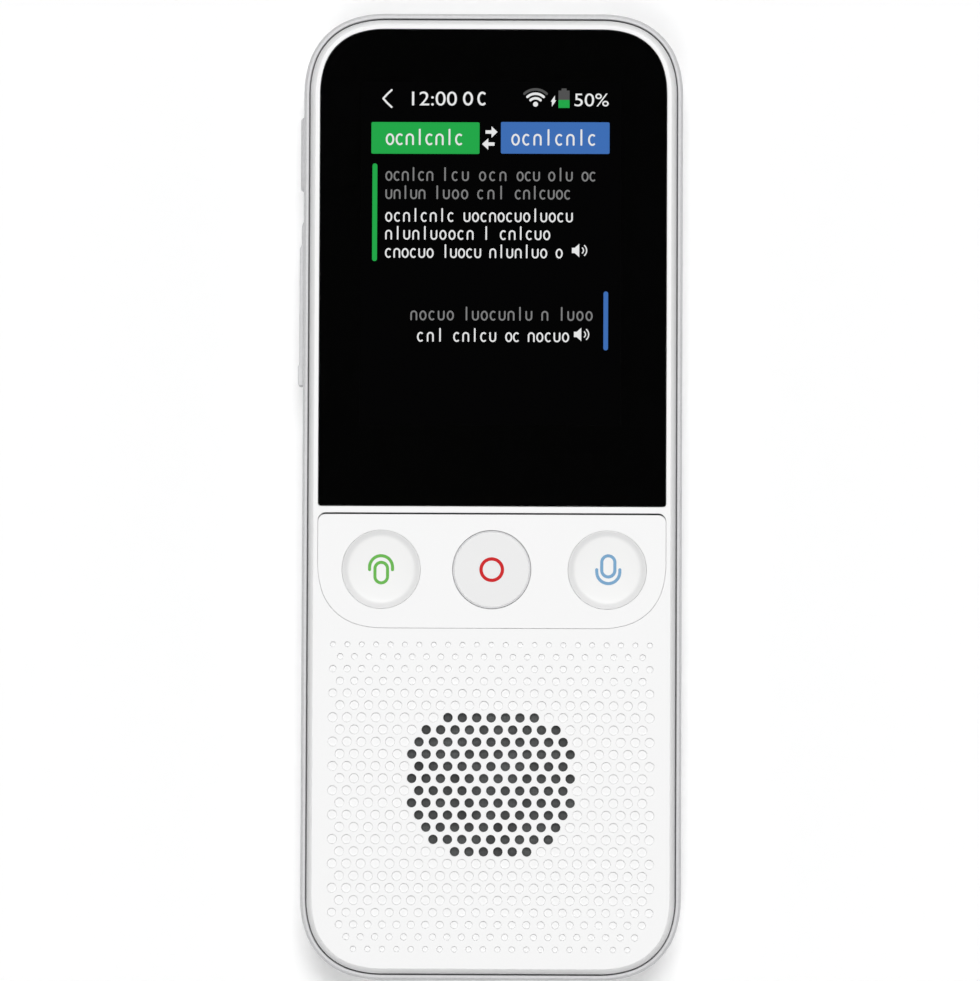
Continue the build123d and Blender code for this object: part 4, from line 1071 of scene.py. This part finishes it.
class TRANSLATOR_OT_display(bpy.types.Operator):
    """Builds the black border behind the glass and the lit page of the display"""

    bl_idname = "translator.display"
    bl_label = "Lit display"

    def execute(self, context):
        colours = context.scene.translator_marks
        under = GLASS_LOW[2]
        border = Surface()
        border.flat(glass_loop(-BORDER_INSET), [box_loop(*LIT_BOX)], under + BORDER_LIFT)
        black = ink("black_ink", (0.0015, 0.0015, 0.0015), 1.0, 0.0)
        settle(border.build("glass_border"), "housing", "display_black", black)
        ground = Surface()
        ground.face(box_loop(*PAGE_BOX), under + PAGE_LIFT)
        glow = lamp_ink("lit_ground", (0.0008, 0.0008, 0.0009))
        settle(ground.build("lit_ground"), "housing", "display_black", glow)

        page = Page(under + INK_LIFT)
        page.signs()
        page.words(under + LABEL_LIFT)
        shades = {
            "white": (colours.lit_white,) * 3,
            "grey": (colours.lit_grey,) * 3,
            "dim": (colours.lit_grey * DIM,) * 3,
            "green": tuple(colours.lit_green),
            "blue": tuple(colours.lit_blue),
        }
        for name, surface in page.inks.items():
            glow = lamp_ink(f"lit_{name}", shades[name])
            settle(surface.build(f"lit_{name}"), "housing", "display_black", glow)
        return {"FINISHED"}


# ---- Contacts in the charging port ----

CONTACTS = 12
CONTACT_PITCH = 0.5
CONTACT_WIDTH = 0.26
CONTACT_REACH = (0.3, 2.6)  # from the tongue's tip
CONTACT_HEIGHTS = (-0.01, 0.02)  # of a contact's foot and top over the tongue's face
TONGUE_HALF = 0.35


class TRANSLATOR_OT_contacts(bpy.types.Operator):
    """Lays the gilt contacts on both faces of the charging port's tongue"""

    bl_idname = "translator.contacts"
    bl_label = "Port contacts"

    def execute(self, context):
        low, high = span("usb_tongue")
        middle_z = (low[2] + high[2]) / 2
        x = (low[0] + high[0]) / 2 + (np.arange(CONTACTS) - (CONTACTS - 1) / 2) * CONTACT_PITCH
        near, far = low[1] + CONTACT_REACH[0], low[1] + CONTACT_REACH[1]
        strip = box_loop(-CONTACT_WIDTH / 2, near, CONTACT_WIDTH / 2, far)
        shift = np.stack([x, 0 * x, 0 * x], 1)
        contacts = Surface()
        for side in (-1, 1):
            heights = [middle_z + side * (TONGUE_HALF + lift) for lift in CONTACT_HEIGHTS]
            walls = np.stack([at_height(strip, z) for z in heights])
            contacts.sheets(walls[None] + shift[:, None, None])
            caps = at_height(strip, heights[1])[None] + shift[:, None]
            contacts.add(caps, np.arange(4 * CONTACTS).reshape(-1, 4))
        gilt = Finish("gilt", (0.83, 0.58, 0.24), Metallic=1.0, Roughness=0.28).material
        settle(contacts.solid("port_contacts", False), "housing", "can_steel", gilt)
        return {"FINISHED"}


# ---- Finishes of the solids ----

ROUNDED = {"key_plate": 0.02, "side_frame": 0.12, "rear_cover": 0.3, "power_key": 0.15, "port_cover": 0.15}
ROUNDED_FROM = 40.0  # degrees between faces
JOINED = 1e-6  # metres


def round_edges(node, width):
    """Joins a solid's loose triangles and rounds its sharp edges, with modifiers only."""
    node.modifiers.new("join", "WELD").merge_threshold = JOINED
    bevel = node.modifiers.new("round", "BEVEL")
    bevel.width = width * MM
    bevel.segments = 2
    bevel.limit_method = "ANGLE"
    bevel.angle_limit = math.radians(ROUNDED_FROM)
    bevel.use_clamp_overlap = True
    bevel.harden_normals = True


class TRANSLATOR_OT_finishes(bpy.types.Operator):
    """Gives every solid the material of its slot and rounds the edges that show"""

    bl_idname = "translator.finishes"
    bl_label = "Finishes"

    def execute(self, context):
        for row in frame["record"]["subparts"]:
            node = frame["nodes"][row["node"]]
            node.data.materials.clear()
            node.data.materials.append(FINISHES[row["material_slot"]])
        for name, width in ROUNDED.items():
            round_edges(frame["nodes"][name], width)
        return {"FINISHED"}


# ---- Stage ----

FLOOR_REACH = 6000.0
FLOOR_Z = -0.05
LAMP_SPREAD, LAMP_TILT = 22.0, 20.0  # degrees
KEY_HEADING, FILL_HEADING = 84.0, -104.0  # degrees from +X
# The sky's brightness runs from To Min to To Max as a direction's height runs from From Min to From Max.
SKY = {"From Min": 0.3, "From Max": 0.85, "To Min": 0.6, "To Max": 0.02}
SENSOR = 36.0
FOCAL_PIXELS = 5548.7
PICTURE_HEIGHT = 981.0
CAMERA_X, CAMERA_Y = 0.0047375, -0.02975
CAMERA_TURNS = (2.213, 0.366, 0.24)  # degrees about X, Y and Z


def lay_floor(white):
    """A matte white floor that glows by white where the camera sees it, directly or through a surface."""
    floor = Surface()
    floor.face(box_loop(-FLOOR_REACH, -FLOOR_REACH, FLOOR_REACH, FLOOR_REACH), FLOOR_Z)
    ground = floor.build("floor")
    paint = Finish("floor_white", (0.9, 0.9, 0.9), Roughness=1.0, Specular_IOR_Level=0.0)
    rays = paint.node("ShaderNodeLightPath", {}, {}, "Is Camera Ray")
    kinds = rays.socket.node.outputs
    for label in ("Is Glossy Ray", "Is Transmission Ray"):
        rays = rays.math("MAXIMUM", rays, Link(paint, kinds[label]))
    glow = paint.node("ShaderNodeEmission", {}, {"Strength": rays * white})
    both = paint.node("ShaderNodeAddShader", {}, {0: Link(paint, paint.shader.outputs[0]), 1: glow})
    paint.tree.links.new(both.socket, paint.tree.nodes["Material Output"].inputs["Surface"])
    ground.data.materials.append(paint.material)


def hang_lamp(name, strength, heading):
    """A soft parallel lamp."""
    data = bpy.data.lights.new(name, "SUN")
    data.energy = strength
    data.angle = math.radians(LAMP_SPREAD)
    lamp = put(name, data)
    lamp.rotation_euler = (0.0, math.radians(LAMP_TILT), math.radians(heading))


def make_sky(scene):
    """A white sky that is bright near the horizon and dark overhead."""
    world = bpy.data.worlds.new("studio")
    scene.world = world
    world.use_nodes = True
    tree = world.node_tree
    sky = tree.nodes["Background"]
    place = tree.nodes.new("ShaderNodeTexCoord")
    split = tree.nodes.new("ShaderNodeSeparateXYZ")
    tree.links.new(place.outputs["Generated"], split.inputs[0])
    ramp = tree.nodes.new("ShaderNodeMapRange")
    for label, value in SKY.items():
        ramp.inputs[label].default_value = value
    tree.links.new(split.outputs["Z"], ramp.inputs["Value"])
    tree.links.new(ramp.outputs[0], sky.inputs["Strength"])
    sky.inputs["Color"].default_value = (1.0, 1.0, 1.0, 1.0)


def place_camera(scene, distance):
    """The camera, above the device and a little off its upright axis."""
    data = bpy.data.cameras.new("camera")
    data.sensor_width = SENSOR
    data.lens = FOCAL_PIXELS * SENSOR / PICTURE_HEIGHT
    data.clip_end = 100.0
    camera = put("camera", data)
    camera.rotation_mode = "ZXY"
    camera.location = (CAMERA_X, CAMERA_Y, distance)
    camera.rotation_euler = tuple(math.radians(turn) for turn in CAMERA_TURNS)
    scene.camera = camera


class TRANSLATOR_OT_stage(bpy.types.Operator):
    """Builds the floor, the lamps, the sky and the camera"""

    bl_idname = "translator.stage"
    bl_label = "Stage"

    def execute(self, context):
        settings = context.scene.translator_stage
        lay_floor(settings.floor_white)
        hang_lamp("key_lamp", settings.key_light, KEY_HEADING)
        hang_lamp("fill_lamp", settings.fill_light, FILL_HEADING)
        make_sky(context.scene)
        place_camera(context.scene, settings.distance)
        context.scene.view_settings.view_transform = "Standard"
        return {"FINISHED"}


# ---- Panel and registration ----

STEPS = (
    TRANSLATOR_OT_finishes,
    TRANSLATOR_OT_face,
    TRANSLATOR_OT_seals,
    TRANSLATOR_OT_keys,
    TRANSLATOR_OT_marks,
    TRANSLATOR_OT_display,
    TRANSLATOR_OT_contacts,
    TRANSLATOR_OT_stage,
)
SETTINGS = {
    "translator_face": FaceSizes,
    "translator_marks": MarkColours,
    "translator_stage": StageSettings,
}


class TRANSLATOR_PT_panel(bpy.types.Panel):
    """Lists the translator's sizes and steps"""

    bl_label = "Translator"
    bl_idname = "TRANSLATOR_PT_panel"
    bl_space_type = "VIEW_3D"
    bl_region_type = "UI"
    bl_category = "Translator"

    def draw(self, context):
        for group in SETTINGS:
            settings = getattr(context.scene, group)
            for name in settings.__annotations__:
                self.layout.prop(settings, name)
        for step in STEPS:
            self.layout.operator(step.bl_idname)


CLASSES = (*SETTINGS.values(), *STEPS, TRANSLATOR_PT_panel)


def register():
    """Registers the classes and gives the scene its settings."""
    for cls in CLASSES:
        bpy.utils.register_class(cls)
    for name, group in SETTINGS.items():
        setattr(bpy.types.Scene, name, bpy.props.PointerProperty(type=group))


def unregister():
    """Takes the settings and the classes away."""
    for name in SETTINGS:
        delattr(bpy.types.Scene, name)
    for cls in reversed(CLASSES):
        bpy.utils.unregister_class(cls)


def main():
    register()
    FINISHES.update(make_finishes())
    for step in STEPS:
        getattr(bpy.ops.translator, step.bl_idname.split(".")[1])()


if __name__ == "__main__":
    main()
